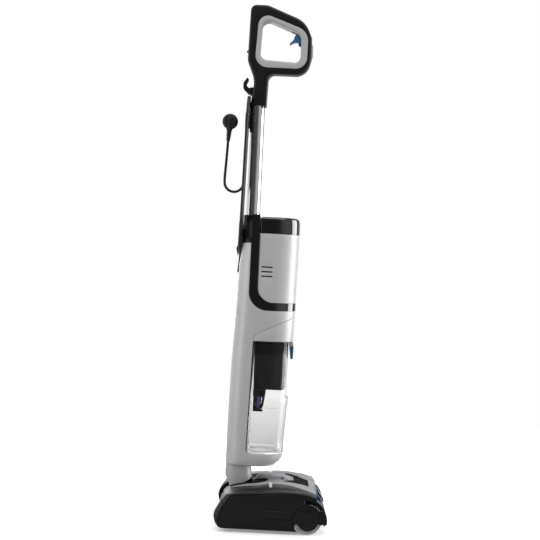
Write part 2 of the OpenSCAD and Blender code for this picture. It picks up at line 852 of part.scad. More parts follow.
module clean_block(inset) {
    intersection() {
        translate([inset, 0, 0]) side(-60, 60) polygon(rounded([for (i = [0:7]) i < 5 ? body_outline[i]
            : [[-95.8, 583, 0], [-60, 583, 0], [-60, seam_z, 0]][i - 5]]));
        translate([inset, 0, 0]) body_plan(0, 150, 500);
        box(-120, -75 - inset, -45.7 + inset, 45.7 - inset, 165.3 + inset, 469.7 - inset);
    }
}

module clean_tank() {
    color([0.6, 0.66, 0.7, 0.6]) difference() {
        clean_block(0);
        difference() {
            clean_block(wall);
            box(-104, -93.6, -22, 22, 400, 444);
        }
        along(0, 422, 15.6, -120, -95.6);
        along(0, 422, 11, -120, -88);
        box(-120, -97.2, -6, 6, 434, 447);
    }
}

module clean_tank_cap() {
    color([0.1, 0.1, 0.11]) {
        along(0, 422, 15, -100.1, -95.8);
        box(-100.1, -97.9, -5.5, 5.5, 434, 443);
        across(-99, 443, 1.6, -5.5, 5.5);
    }
}

base_chassis();
bottom_plate();
skid_pads();
top_cover();
cover_inlays();
right_side_cover();
left_side_cover();
front_bumper();
brush_motor();
drive_belt();
spray_bar();
suction_duct();
squeegee();
hinge_pins();
wheel_axles();
base_screws();
right_wheel();
left_wheel();
front_window();
window_latch();
roller_end_cap();
brush_core();
brush_sleeve();
brush_drive_hub();
motor_pulley();
neck_shell();
neck_core();
main_body();
swivel_bearing();
riser_duct();
pod_shell();
pod_cap();
trim_band();
tube_collar();
suction_motor();
impeller();
motor_filter();
water_pump();
stick_tube();
right_handle_shell();
left_handle_shell();
grip_ring();
trigger();
control_panel();
power_button();
mode_button();
upper_hook();
lower_hook();
cord_gland();
cord_lead();
cord_hank();
cord_tail();
plug();
tank_bin();
tank_lid();
tank_insert();
float();
tank_latch();
clean_tank();
clean_tank_cap();
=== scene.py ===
"""Looks of the wet dry floor scrubber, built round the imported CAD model."""
import json
from math import acos, atan2, cos, hypot, pi, radians, sin, sqrt, tan

import bmesh
import bpy
from mathutils import Matrix, Vector, noise


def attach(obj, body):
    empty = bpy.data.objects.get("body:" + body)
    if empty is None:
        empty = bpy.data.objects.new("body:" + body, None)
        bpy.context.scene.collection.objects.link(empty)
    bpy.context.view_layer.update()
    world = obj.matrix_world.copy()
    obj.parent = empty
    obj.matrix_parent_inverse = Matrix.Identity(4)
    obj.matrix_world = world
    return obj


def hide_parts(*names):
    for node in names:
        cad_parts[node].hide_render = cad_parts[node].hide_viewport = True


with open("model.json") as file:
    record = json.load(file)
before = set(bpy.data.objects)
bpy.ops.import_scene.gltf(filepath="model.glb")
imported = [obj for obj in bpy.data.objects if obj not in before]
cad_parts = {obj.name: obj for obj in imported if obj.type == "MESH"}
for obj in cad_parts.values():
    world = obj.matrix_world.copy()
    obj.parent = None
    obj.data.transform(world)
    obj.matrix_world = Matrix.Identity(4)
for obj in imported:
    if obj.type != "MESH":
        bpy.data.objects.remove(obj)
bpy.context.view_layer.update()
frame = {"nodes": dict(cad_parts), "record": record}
nodes = frame["nodes"]

MM = 0.001
# Y sign and name of the machine's two sides
SIDES = ((-1, "right"), (1, "left"))
SAME_PLACE = 1e-7

# ---- camera

camera_data = bpy.data.cameras.new("camera")
camera_data.lens = 76.0
camera_data.sensor_width = 36.0
camera = bpy.data.objects.new("camera", camera_data)
camera.location = (-0.026, -2.6, 0.571)
camera.rotation_euler = (radians(90), radians(-2.7), 0)
bpy.context.scene.collection.objects.link(camera)
bpy.context.scene.camera = camera
bpy.context.scene.view_settings.view_transform = "Standard"


# ---- shapes

def mm(p):
    return Vector(p) * MM


def unit2(a, b):
    d = hypot(b[0] - a[0], b[1] - a[1])
    return (b[0] - a[0]) / d, (b[1] - a[1]) / d


def arc_points(a, b, c, r, n):
    """Arc of radius r that rounds the corner b of the path a-b-c."""
    u, v = unit2(b, a), unit2(b, c)
    half = acos(max(-1, min(1, u[0] * v[0] + u[1] * v[1]))) / 2
    mid = (u[0] + v[0], u[1] + v[1])
    size = hypot(*mid)
    centre = [b[k] + mid[k] / size * r / sin(half) for k in (0, 1)]
    p = [b[k] + u[k] * r / tan(half) for k in (0, 1)]
    q = [b[k] + v[k] * r / tan(half) for k in (0, 1)]
    start = atan2(p[1] - centre[1], p[0] - centre[0])
    swing = atan2(q[1] - centre[1], q[0] - centre[0]) - start
    swing = (swing + pi) % (2 * pi) - pi
    return [(centre[0] + r * cos(start + swing * i / n), centre[1] + r * sin(start + swing * i / n))
        for i in range(n + 1)]


def rounded(corners, n=10):
    """Closed outline through corners (x, z, radius)."""
    out = []
    for i, (x, z, r) in enumerate(corners):
        if r == 0:
            out.append((x, z))
        else:
            before, after = corners[i - 1], corners[(i + 1) % len(corners)]
            out += arc_points(before, (x, z), after, r, n)
    return out


def curve_point(a, b, c, d, t):
    """Point at share t of the Catmull-Rom stretch from b to c."""
    bend = 2 * a - 5 * b + 4 * c - d
    return 0.5 * (2 * b + (c - a) * t + bend * t * t + (3 * b - a - 3 * c + d) * t ** 3)


def smooth_path(points, spacing):
    """Smooth curve through the points, resampled about every `spacing`."""
    pts = [Vector(p) for p in points]
    pts = [2 * pts[0] - pts[1]] + pts + [2 * pts[-1] - pts[-2]]
    out = []
    for i in range(1, len(pts) - 2):
        steps = max(1, round((pts[i + 1] - pts[i]).length / spacing))
        out += [curve_point(*pts[i - 1:i + 3], k / steps) for k in range(steps)]
    return out + [pts[-2]]


def skin_rows(bm, rows):
    """Faces between each row of vertices and the next; every row is a closed loop."""
    n = len(rows[0])
    for a, b in zip(rows, rows[1:]):
        for i in range(n):
            j = (i + 1) % n
            bm.faces.new((a[i], a[j], b[j], b[i]))


def put(name, data):
    """New object in the scene."""
    obj = bpy.data.objects.new(name, data)
    bpy.context.scene.collection.objects.link(obj)
    return obj


def add(name, bm):
    bmesh.ops.recalc_face_normals(bm, faces=bm.faces)
    mesh = bpy.data.meshes.new(name)
    bm.to_mesh(mesh)
    bm.free()
    return put(name, mesh)


def bake(obj):
    """Turns an object's modifiers into its mesh."""
    bpy.context.view_layer.update()
    graph = bpy.context.evaluated_depsgraph_get()
    mesh = bpy.data.meshes.new_from_object(obj.evaluated_get(graph))
    old = obj.data
    obj.modifiers.clear()
    obj.data = mesh
    bpy.data.meshes.remove(old)
    return obj


def soften(obj, width, segments=3, angle=38):
    """Rounds every edge sharper than the angle."""
    bevel = obj.modifiers.new("bevel", "BEVEL")
    bevel.width = width * MM
    bevel.segments = segments
    bevel.limit_method = "ANGLE"
    bevel.angle_limit = radians(angle)
    bevel.use_clamp_overlap = True
    return bake(obj)


def cut(obj, cutter, how="DIFFERENCE"):
    boolean = obj.modifiers.new("cut", "BOOLEAN")
    boolean.operation = how
    boolean.solver = "EXACT"
    boolean.object = cutter
    bake(obj)
    bpy.data.objects.remove(cutter)
    return obj


def join(name, *objs):
    bm = bmesh.new()
    for o in objs:
        bm.from_mesh(o.data)
        bpy.data.objects.remove(o)
    return add(name, bm)


def offset_loop(loop, d):
    """Moves an anticlockwise outline inwards by d; points that would cross are merged."""
    n = len(loop)
    out = []
    for i, b in enumerate(loop):
        u, v = unit2(loop[i - 1], b), unit2(b, loop[(i + 1) % n])
        size = max(0.25, 1 + u[0] * v[0] + u[1] * v[1])
        out.append([b[0] - (u[1] + v[1]) / size * d, b[1] + (u[0] + v[0]) / size * d])
    for _ in range(12):
        crossed = False
        for i in range(n):
            j = (i + 1) % n
            now = [out[j][k] - out[i][k] for k in (0, 1)]
            before = [loop[j][k] - loop[i][k] for k in (0, 1)]
            along = now[0] * before[0] + now[1] * before[1]
            if along < -1e-9:
                middle = [(out[i][k] + out[j][k]) / 2 for k in (0, 1)]
                out[i], out[j] = middle, middle[:]
                crossed = True
        if not crossed:
            break
    return out


def slab(name, outer, y0, y1, inner=None, edge=0.0, inner_edge=0.0, segments=4, rims=(True, True)):
    """Plate cut to a side outline between two Y planes, its rims rounded over."""
    bm = bmesh.new()
    for loop, radius, way in ((outer, edge, 1), (inner, inner_edge, -1)):
        if loop is None:
            continue
        if sum(a[0] * b[1] - b[0] * a[1] for a, b in zip(loop, loop[1:] + loop[:1])) < 0:
            loop = loop[::-1]
        turns = [pi / 2 * k / segments for k in range(segments + 1)]
        steps = [(radius * (1 - sin(t)), radius * (1 - cos(t))) for t in turns]
        near = [(d, y0 + rise) for d, rise in steps] if radius and rims[0] else [(0, y0)]
        far = [(d, y1 - rise) for d, rise in steps] if radius and rims[1] else [(0, y1)]
        skin_rows(bm, [[bm.verts.new(mm((x, y, z))) for x, z in (offset_loop(loop, way * d) if d else loop)]
            for d, y in near + far[::-1]])
    bmesh.ops.remove_doubles(bm, verts=bm.verts, dist=SAME_PLACE)
    for y in (y0, y1):
        rim = [e for e in bm.edges if e.is_boundary and all(abs(v.co.y - y * MM) < SAME_PLACE
            for v in e.verts)]
        bmesh.ops.triangle_fill(bm, edges=rim, use_beauty=True, normal=(0, 1, 0))
    return add(name, bm)


def loft(name, rings):
    """Closed skin over rings of points, in millimetres, that all have the same count."""
    bm = bmesh.new()
    rows = [[bm.verts.new(mm(p)) for p in ring] for ring in rings]
    skin_rows(bm, rows)
    bm.faces.new(rows[0][::-1])
    bm.faces.new(rows[-1])
    return add(name, bm)


def plan_ring(x0, x1, w, rear_r, front_r, z, corner=10, straight=6):
    """Rounded rectangle in plan at height z, with its own radius at rear and front."""
    h = w / 2
    corners = ((x1 - front_r, h - front_r, front_r, 0), (x0 + rear_r, h - rear_r, rear_r, 90),
        (x0 + rear_r, rear_r - h, rear_r, 180), (x1 - front_r, front_r - h, front_r, 270))
    arcs = [[(cx + r * cos(radians(a + 90 * k / corner)), cy + r * sin(radians(a + 90 * k / corner)), z)
        for k in range(corner + 1)] for cx, cy, r, a in corners]
    ring = []
    for i, arc in enumerate(arcs):
        ring += arc
        a, b = Vector(arc[-1]), Vector(arcs[(i + 1) % 4][0])
        ring += [tuple(a.lerp(b, k / (straight + 1))) for k in range(1, straight + 1)]
    return ring


def plan_levels(levels, bottom=0.0, top=0.0, steps=5, inset=0.0):
    """Rings for levels (z, x0, x1, w, rear_r, front_r), the first and last rims rounded over."""
    def ring(level, shrink, z):
        _, x0, x1, w, rr, rf = level
        s = shrink + inset
        return plan_ring(x0 + s, x1 - s, w - 2 * s, max(rr - s, 0.3), max(rf - s, 0.3), z)
    turns = [pi / 2 * k / steps for k in range(steps + 1)]
    arc = [(1 - sin(t), 1 - cos(t)) for t in turns]
    first, last = levels[0], levels[-1]
    rings = [ring(first, bottom * s, first[0] + bottom * c) for s, c in arc[:-1]] if bottom else []
    for i, level in enumerate(levels):
        z = level[0] + (bottom if i == 0 else 0) - (top if i == len(levels) - 1 else 0)
        rings.append(ring(level, 0, z))
    if top:
        rings += [ring(last, top * c, last[0] - top * s) for s, c in arc[1:]]
    return rings


def between(levels, z):
    """The level at height z, interpolated in a list of levels that rise."""
    for a, b in zip(levels, levels[1:]):
        if a[0] <= z <= b[0]:
            t = (z - a[0]) / (b[0] - a[0])
            return tuple(p + (q - p) * t for p, q in zip(a, b))
    return levels[0] if z < levels[0][0] else levels[-1]


def lathe(name, profile, centre, axis="Z", segments=64):
    """Body of revolution from (radius, height) pairs, closed at the ends where radius is 0."""
    bm = bmesh.new()
    rows = []
    for r, h in profile:
        row = []
        for k in range(segments):
            a = radians(360 * k / segments)
            u, v = r * cos(a), r * sin(a)
            p = {"X": (h, u, v), "Y": (u, h, v), "Z": (u, v, h)}[axis]
            row.append(bm.verts.new(mm(Vector(p) + Vector(centre))))
        rows.append(row)
    skin_rows(bm, rows)
    bmesh.ops.remove_doubles(bm, verts=bm.verts, dist=SAME_PLACE)
    return add(name, bm)


def rod(name, r, h0, h1, centre, axis="Z", segments=64):
    """Plain solid cylinder, as a cutter or a pin."""
    return lathe(name, [(0, h0), (r, h0), (r, h1), (0, h1)], centre, axis, segments)


def box(name, x0, x1, y0, y1, z0, z1, edge=0.0, segments=3):
    bm = bmesh.new()
    bmesh.ops.create_cube(bm, size=1)
    for v in bm.verts:
        v.co = mm([(a + b) / 2 + v.co[k] * (b - a) for k, (a,
            b) in enumerate(((x0, x1), (y0, y1), (z0, z1)))])
    if edge:
        bmesh.ops.bevel(bm, geom=bm.edges[:], offset=edge * MM, segments=segments, profile=0.5,
            affect="EDGES")
    return add(name, bm)


def reshaped(obj, change, name=None):
    """The same piece with every point put through `change`."""
    bm = bmesh.new()
    bm.from_mesh(obj.data)
    for v in bm.verts:
        v.co = change(v.co)
    name = name or obj.name
    bpy.data.objects.remove(obj)
    return add(name, bm)


def plate(name, outline, z0, z1):
    """Plate cut to a plan outline between two heights."""
    return reshaped(slab(name, outline, z0, z1), lambda p: (p.x, p.z, p.y))


def moved(obj, x, y, z, side=1):
    """Shifts a piece built round the origin, mirrored in Y where side is -1."""
    return reshaped(obj, lambda p: Vector((p.x, side * p.y, p.z)) + mm((x, y, z)))


def mirrored(obj, name):
    return reshaped(obj, lambda p: (p.x, -p.y, p.z), name)


# ---- materials

def new_material(name):
    material = bpy.data.materials.new(name)
    material.use_nodes = True
    tree = material.node_tree
    return material, tree, tree.nodes["Principled BSDF"]


def tune(node, **values):
    """Sets a node's own sockets; an underscore in a key stands for a space."""
    for key, value in values.items():
        node.inputs[key.replace("_", " ")].default_value = value


def new_node(tree, kind):
    return tree.nodes.new("ShaderNode" + kind)


def texture(tree, kind, scale, detail=2.0, stretch=(1, 1, 1)):
    """Procedural texture in the object's own coordinates, in metres."""
    where = new_node(tree, "TexCoord")
    mapping = new_node(tree, "Mapping")
    tune(mapping, Scale=stretch)
    tree.links.new(where.outputs["Object"], mapping.inputs["Vector"])
    node = new_node(tree, kind)
    tune(node, Scale=scale)
    if "Detail" in node.inputs:
        tune(node, Detail=detail)
    tree.links.new(mapping.outputs["Vector"], node.inputs["Vector"])
    return node


def noise_field(tree, scale, detail, stretch=(1, 1, 1)):
    """Strength of a noise texture."""
    return texture(tree, "TexNoise", scale, detail, stretch).outputs["Fac"]


def spread(tree, value, low, high, from_low=0.3, from_high=0.7):
    """Maps a value from one range to another."""
    node = new_node(tree, "MapRange")
    tune(node, From_Min=from_low, From_Max=from_high, To_Min=low, To_Max=high)
    tree.links.new(value, node.inputs["Value"])
    return node.outputs["Result"]


def scaled(color, k):
    return [min(1, c * k) for c in color]


def two_tone(tree, value, dark, light):
    node = new_node(tree, "Mix")
    node.data_type = "RGBA"
    tune(node, A=(*dark, 1), B=(*light, 1))
    tree.links.new(value, node.inputs["Factor"])
    return node.outputs["Result"]


def bumped(tree, shader, height, strength, distance, below=None):
    node = new_node(tree, "Bump")
    tune(node, Strength=strength, Distance=distance)
    tree.links.new(height, node.inputs["Height"])
    if below is not None:
        tree.links.new(below, node.inputs["Normal"])
    tree.links.new(node.outputs["Normal"], shader.inputs["Normal"])
    return node.outputs["Normal"]


def colored(tree, shader, value, dark, light):
    tree.links.new(two_tone(tree, value, dark, light), shader.inputs["Base Color"])


def roughened(tree, shader, value, low, high):
    tree.links.new(spread(tree, value, low, high), shader.inputs["Roughness"])


def plastic(name, color, rough, vary=0.04, grain=1800.0, bump=0.06, coat=0.0, coat_rough=0.08, specular=0.5,
        metallic=0.0, rough_vary=0.06, scuff=0.0):
    """Moulded plastic or paint: soft colour drift, uneven gloss, fine grain and faint scuffs."""
    material, tree, shader = new_material(name)
    tone = two_tone(tree, noise_field(tree, 18.0, 3.0), scaled(color, 1 - vary), scaled(color, 1 + vary))
    if scuff:
        wear = noise_field(tree, 120.0, 6.0, (1, 1, 0.25))
        lighter = new_node(tree, "Mix")
        lighter.data_type = "RGBA"
        tune(lighter, B=(*[min(1, c * 1.5 + 0.02) for c in color], 1))
        tree.links.new(spread(tree, wear, 0.0, scuff, 0.58, 0.72), lighter.inputs["Factor"])
        tree.links.new(tone, lighter.inputs["A"])
        tone = lighter.outputs["Result"]
    tree.links.new(tone, shader.inputs["Base Color"])
    roughened(tree, shader, noise_field(tree, 60.0, 5.0), max(0.02, rough - rough_vary), rough + rough_vary)
    bumped(tree, shader, noise_field(tree, grain, 2.0), bump, 0.0002)
    tune(shader, Coat_Weight=coat, Coat_Roughness=coat_rough, Specular_IOR_Level=specular, Metallic=metallic)
    return material


def metal(name, color, rough, stretch=(1, 1, 0.02), scale=900.0, bump=0.03, rough_vary=0.05):
    """Metal with fine lines along its length and uneven polish."""
    material, tree, shader = new_material(name)
    lines = noise_field(tree, scale, 3.0, stretch)
    colored(tree, shader, lines, scaled(color, 0.94), color)
    roughened(tree, shader, lines, max(0.01, rough - rough_vary), rough + rough_vary)
    bumped(tree, shader, lines, bump, 0.0001)
    tune(shader, Metallic=1.0)
    return material


def clear(name, color, rough, ior=1.46, haze=0.03):
    """Clear moulded plastic with a faint haze and flow lines."""
    material, tree, shader = new_material(name)
    flow = noise_field(tree, 30.0, 4.0, (1, 1, 0.2))
    colored(tree, shader, flow, scaled(color, 0.985), color)
    roughened(tree, shader, flow, rough, rough + haze)
    bumped(tree, shader, flow, 0.04, 0.0004)
    tune(shader, Transmission_Weight=1.0, IOR=ior)
    return material


def rubber(name, color, rough=0.62, bump=0.15):
    material = plastic(name, color, rough, vary=0.08, grain=1200.0, bump=bump, specular=0.35, scuff=0.2)
    tune(material.node_tree.nodes["Principled BSDF"], Sheen_Weight=0.12)
    return material


def pile(name, color):
    """Short dense pile: clumps, fibre ends and a soft sheen."""
    material, tree, shader = new_material(name)
    clumps = noise_field(tree, 260.0, 4.0)
    ends = texture(tree, "TexVoronoi", 1400.0)
    colored(tree, shader, clumps, scaled(color, 0.62), scaled(color, 1.35))
    first = bumped(tree, shader, clumps, 0.6, 0.0008)
    bumped(tree, shader, ends.outputs["Distance"], 0.7, 0.0005, first)
    roughened(tree, shader, clumps, 0.85, 1.0)
    tune(shader, Sheen_Weight=0.5, Sheen_Roughness=0.5)
    return material


LOOKS = {
    "black_casing": plastic("black_satin", (0.0085, 0.0085, 0.0095), 0.4, grain=2600, bump=0.05, scuff=0.06,
        specular=0.3),
    "black_head": plastic("black_head", (0.0085, 0.0085, 0.0095), 0.36, grain=2400, bump=0.05, scuff=0.06,
        specular=0.32),
    "black_gloss": plastic("piano_black", (0.006, 0.006, 0.007), 0.08, bump=0.0, coat=1.0, coat_rough=0.03,
        rough_vary=0.03),
    "silver_body": plastic("silver_paint", (0.51, 0.508, 0.505), 0.42, grain=5200, bump=0.03, coat=0.2,
        coat_rough=0.3, metallic=0.12, vary=0.015),
    "grey_cover": plastic("grey_grain", (0.27, 0.27, 0.275), 0.58, grain=1500, bump=0.16, vary=0.03,
        scuff=0.08, specular=0.35),
    "neck_grey": plastic("neck_grey", (0.46, 0.465, 0.47), 0.36, grain=2600, bump=0.05, vary=0.02,
        specular=0.7),
    "grip_grey": plastic("grip_grey", (0.4, 0.4, 0.405), 0.5, grain=1500, bump=0.14, vary=0.03),
    "panel_grey": plastic("panel_grey", (0.5, 0.51, 0.52), 0.35, bump=0.04, vary=0.02),
    "trigger_blue": plastic("trigger_blue", (0.026, 0.13, 0.26), 0.3, coat=0.3, bump=0.03),
    "latch_navy": plastic("latch_navy", (0.005, 0.02, 0.06), 0.7, specular=0.0, bump=0.02),
    "pale_edge": plastic("pale_edge", (0.7, 0.73, 0.76), 0.3, bump=0.03),
    "chrome_tube": metal("chrome", (0.74, 0.75, 0.77), 0.07, rough_vary=0.03, bump=0.01),
    "clear_tank": clear("clear_tank", (0.985, 0.99, 0.985), 0.02, ior=1.26),
    "clear_window": clear("clear_window", (0.97, 0.985, 1.0), 0.06, haze=0.08),
    "clean_tank_clear": plastic("frosted_tank", (0.53, 0.53, 0.527), 0.4, grain=3000, bump=0.04, coat=0.15,
        coat_rough=0.3, vary=0.02),
    "dark_insert": plastic("dark_insert", (0.004, 0.004, 0.0045), 0.6, bump=0.02, specular=0.0),
    "float_purple": plastic("float_purple", (0.05, 0.02, 0.11), 0.3, coat=0.3),
    "brush_fabric": pile("grey_pile", (0.56, 0.565, 0.57)),
    "cord_rubber": rubber("cord_rubber", (0.012, 0.012, 0.013), 0.45, bump=0.08),
    "soft_rubber": rubber("soft_rubber", (0.02, 0.02, 0.021)),
    "inner_plastic": plastic("inner_plastic", (0.05, 0.05, 0.055), 0.5, bump=0.08),
    "acetal": plastic("acetal", (0.7, 0.69, 0.64), 0.35, bump=0.04),
    "filter_foam": pile("filter_foam", (0.6, 0.6, 0.56)),
    "motor_metal": metal("motor_can", (0.5, 0.5, 0.52), 0.32, (0.05, 1, 1), 500.0, 0.08),
    "steel": metal("zinc_steel", (0.6, 0.6, 0.62), 0.28, (1, 1, 1), 700.0, 0.05),
    # Matte near-black: dark panels, and also painted shade in the pod's vent slots and the tank's seam
    "dark_slot": plastic("dark_slot", (0.006, 0.006, 0.007), 0.75, specular=0.04),
}


def shade(obj, angle=36):
    mesh = obj.data
    mesh.polygons.foreach_set("use_smooth", [True] * len(mesh.polygons))
    mesh.set_sharp_from_angle(angle=radians(angle))


def place(obj, body, look, stands_for=None, angle=36):
    """Gives a new piece its material and body, and hides the CAD node that it stands for, if any."""
    obj.data.materials.clear()
    obj.data.materials.append(LOOKS[look])
    shade(obj, angle)
    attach(obj, body)
    if stands_for:
        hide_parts(stands_for)
    return obj


# ---- cord and plug

CORD_D = 6.0
PITCH = 6.1
HANK_HALF_TURNS = 13
FOLD_OUTER = 58.15
SADDLE_HIGH, SADDLE_LOW = 905.85, 660.15
HANK_X, HANK_TOP, HANK_LEAN = -92.6, 967.0, 0.012


def layer_x(z):
    return HANK_X - (HANK_TOP - z) * HANK_LEAN


lead_route = [(-96.5, 34, 590), (-96.5, 34.5, 599), (-96.4, 38, 611), (-96.3, 45, 623), (-96.3, 52, 635),
    (-96.3, 57, 647), (layer_x(SADDLE_LOW), FOLD_OUTER, SADDLE_LOW)]
tail_route = [(-94.6, -18.5, 800), (-94.8, -18.5, 783), (-95.2, -18.5, 769), (-97.6, -18.5, 756),
    (-105.5, -18.5, 747), (-116.5, -18.5, 744), (-127.5, -18.5, 747), (-136, -18.5, 756),
    (-138.2, -18.5, 769), (-137.6, -18.5, 790), (-136.3, -18.5, 815), (-135.3, -18.5, 840),
    (-134.4, -18.5, 860)]

route = smooth_path(lead_route, 3.0)
radius = FOLD_OUTER
for half_turn in range(HANK_HALF_TURNS):
    at_top = half_turn % 2 == 0
    centre_z = SADDLE_HIGH if at_top else SADDLE_LOW
    side = 1 if at_top else -1
    last = route[-1]
    steps = max(2, round(abs(centre_z - last.z) / 12))
    route += [Vector((layer_x(last.z + (centre_z - last.z) * k / steps), side * radius,
        last.z + (centre_z - last.z) * k / steps)) for k in range(1, steps + 1)]
    steps = 26
    for k in range(1, steps + 1):
        a = pi * k / steps
        r = radius - PITCH / 2 * k / steps
        z = centre_z + side * r * sin(a)
        route.append(Vector((layer_x(z), side * r * cos(a), z)))
    radius -= PITCH / 2
steps = 9
route += [Vector((layer_x(z), -radius, z)) for z in [SADDLE_HIGH + (806 - SADDLE_HIGH) * k / steps
    for k in range(1, steps + 1)]]
route += smooth_path(tail_route, 3.0)

curve = bpy.data.curves.new("mains_cord", "CURVE")
curve.dimensions = "3D"
curve.bevel_depth = CORD_D / 2 * MM
curve.bevel_resolution = 5
curve.use_fill_caps = True
spline = curve.splines.new("POLY")
spline.points.add(len(route) - 1)
for point, p in zip(spline.points, route):
    point.co = (*mm(p), 1)
spline.use_smooth = True
cord = put("mains_cord", curve)
curve.materials.append(LOOKS["cord_rubber"])
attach(cord, "upright")
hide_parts("cord_lead", "cord_hank", "cord_tail")

# Round plug, its back towards the photograph's side, with a ribbed tapered relief
PLUG = Vector((-132, -18.5, 903))
plug_body = lathe("plug_body", [(0, -25), (9, -25), (13.2, -24.6), (15.6, -23), (17.2, -20), (17.8, -16),
    (17.8, -12), (17.3, -9.2), (16.2, -8.1), (14.6, -8), (14, -9.4), (0, -9.4)], (PLUG.x, 0, PLUG.z), "Y",
    72)
foot = Vector(tail_route[-1])
along = (PLUG - foot).normalized()
relief_profile = [(0, 0), (3.9, 0), (4.6, 0.6)]
for ring in range(5):
    h = 1.5 + ring * 4.2
    r = 4.7 + ring * 0.32
    relief_profile += [(r, h), (r + 0.1, h + 2.2), (r - 0.75, h + 2.7), (r - 0.75, h + 3.7)]
relief_profile += [(6.4, 23.2), (7.1, 26), (7.4, 34), (7.0, 38), (5.4, 40.5), (0, 41)]
relief = lathe("plug_relief", relief_profile, (0, 0, 0), "Z", 40)
relief.data.transform(Matrix.Translation(mm(foot - along * 1.0)) @ Vector((0, 0,
    1)).rotation_difference(along).to_matrix().to_4x4())
rib = slab("plug_rib", rounded([(-4.6, -13, 2), (4.6, -13, 2), (4.2, 8.5, 4), (-4.2, 8.5, 4)], 8), -26.2,
    -20, edge=1.6)
tilt = atan2(along.x, along.z)
rib.data.transform(Matrix.Translation(mm((PLUG.x, 0, PLUG.z))) @ Matrix.Rotation(tilt, 4, "Y"))
plug = join("mains_plug", plug_body, relief, rib)
place(plug, "upright", "cord_rubber", stands_for="plug", angle=40)
pin_profile = [(0, 11), (1.2, 10.9), (2.1, 10.2), (2.4, 9), (2.4, -9), (0, -9)]
pins = join("plug_pins", *[lathe("pin", pin_profile, (PLUG.x + 9.5 * s, 0, PLUG.z), "Y", 28)
    for s in (-1, 1)])
place(pins, "upright", "steel")

gland_profile = [(0, 561.9), (5.4, 562)]
for ring in range(4):
    h, r = 564.5 + ring * 5.4, 5.35 - ring * 0.42
    gland_profile += [(r, h), (r - 0.15, h + 3.0), (r - 0.95, h + 3.5), (r - 1.0, h + 4.7)]
gland_profile += [(3.75, 586.5), (3.55, 589.6), (3.1, 590), (0, 590)]
gland = lathe("cord_relief", gland_profile, (-96.5, 34, 0), "Z", 36)
gland_foot = box("gland_foot", -97.4, -92.9, 29.5, 38.5, 562.0, 570, 1.2)
place(join("cord_relief_boot", gland, gland_foot), "upright", "cord_rubber", stands_for="cord_gland",
    angle=40)

# ---- carried-over CAD nodes

def reskin(look, *names, edge=0.0):
    """Gives CAD nodes a finished material and, where asked, a soft moulded edge."""
    for name in names:
        obj = nodes[name]
        obj.data.materials.clear()
        obj.data.materials.append(LOOKS[look])
        if edge:
            weld = obj.modifiers.new("weld", "WELD")
            weld.merge_threshold = 1e-6
            bevel = obj.modifiers.new("edge", "BEVEL")
            bevel.width = edge * MM
            bevel.segments = 2
            bevel.limit_method = "ANGLE"
            bevel.angle_limit = radians(50)


record_slot = {p["node"]: p["material_slot"] for p in frame["record"]["subparts"]}
for node_name, slot_name in record_slot.items():
    reskin(slot_name, node_name)

# ---- handle

HANDLE = [(-97, 1171, 14), (-58, 1171, 30), (27, 1138, 55), (45, 1102, 70), (46, 1052, 60),
    (38, 1015.5, 34), (-49, 1015, 15), (-51, 941, 0), (-88.5, 941, 2), (-81, 1000, 60), (-99, 1044, 20)]
RING = [(-77, 1155, 22), (36, 1115, 34), (35.5, 1029, 26), (-83, 1029, 28)]
GRIP = [(-68, 1142, 16), (20.3, 1107, 20), (20.3, 1042.5, 14), (-71, 1047, 16)]


def notch(obj):
    """Seats for the button and the panel on the handle's front edge."""
    cut(obj, box("seat", 36.4, 60, -8, 8, 1094.6, 1108, 0.6))
    return cut(obj, box("seat", 41.4, 60, -12.1, 12.1, 1044.9, 1092, 0.8))


def half_handle(name):
    return slab(name, rounded(HANDLE, 14), -19, -0.06, rounded(RING, 14), 6.5, 0.9, 7, rims=(True, False))


place(notch(half_handle("handle_right")), "upright", "black_casing", stands_for="right_handle_shell",
    angle=30)
place(notch(mirrored(half_handle("handle_left"), "handle_left.001")), "upright", "black_casing",
    stands_for="left_handle_shell", angle=30)

ring = slab("grip_ring_soft", rounded(RING, 14), -19.5, 19.5, rounded(GRIP, 14), 1.4, 5.0, 6)
cut(ring, slab("well", [(-1, 1110), (-1, 1122), (12, 1118), (33.5, 1108), (33.5, 1076), (16, 1076),
    (16, 1100)], -8.5, 8.5))
place(ring, "upright", "grip_grey", stands_for="grip_ring", angle=30)

lever = slab("trigger_lever", rounded([(7, 1107.5, 2), (2, 1095, 5), (-5.5, 1087.5, 0.6), (-3, 1086, 0.6),
    (6, 1091, 8), (14, 1089, 3), (18, 1083, 0.8), (22, 1085, 2), (31, 1094, 3), (30.5, 1103, 3),
    (20, 1110.5, 4)], 6), -7.5, 7.5, edge=0.5, segments=3)
place(lever, "trigger", "trigger_blue", stands_for="trigger", angle=40)
lever.data.materials.append(LOOKS["dark_slot"])
for face in lever.data.polygons:
    c = face.center / MM
    if c.x < -1.5 or (c.z < 1087.5 and c.x > 12):
        face.material_index = 1

panel = slab("control_panel_face", rounded([(41.7, 1045.2, 0), (46, 1047, 2), (48.8, 1062, 14),
    (48.4, 1080, 10), (45.5, 1091.6, 2), (41.7, 1091.8, 0)], 8), -11.8, 11.8, edge=1.2)
cut(panel, box("seat", 44.5, 60, -7.3, 7.3, 1058.7, 1073.3, 0.5))
place(panel, "upright", "panel_grey", stands_for="control_panel")
button = slab("power_key", rounded([(39, 1095, 0), (46.4, 1095, 1.5), (45.8, 1101, 4), (43.6, 1107.6, 1.5),
    (39, 1107.6, 0)], 8), -7.6, 7.6, edge=1.1)
place(button, "power_button", "panel_grey", stands_for="power_button")
place(box("mode_key", 46.6, 49.2, -7, 7, 1059, 1073, 0.9, 4), "mode_button", "trigger_blue",
    stands_for="mode_button")

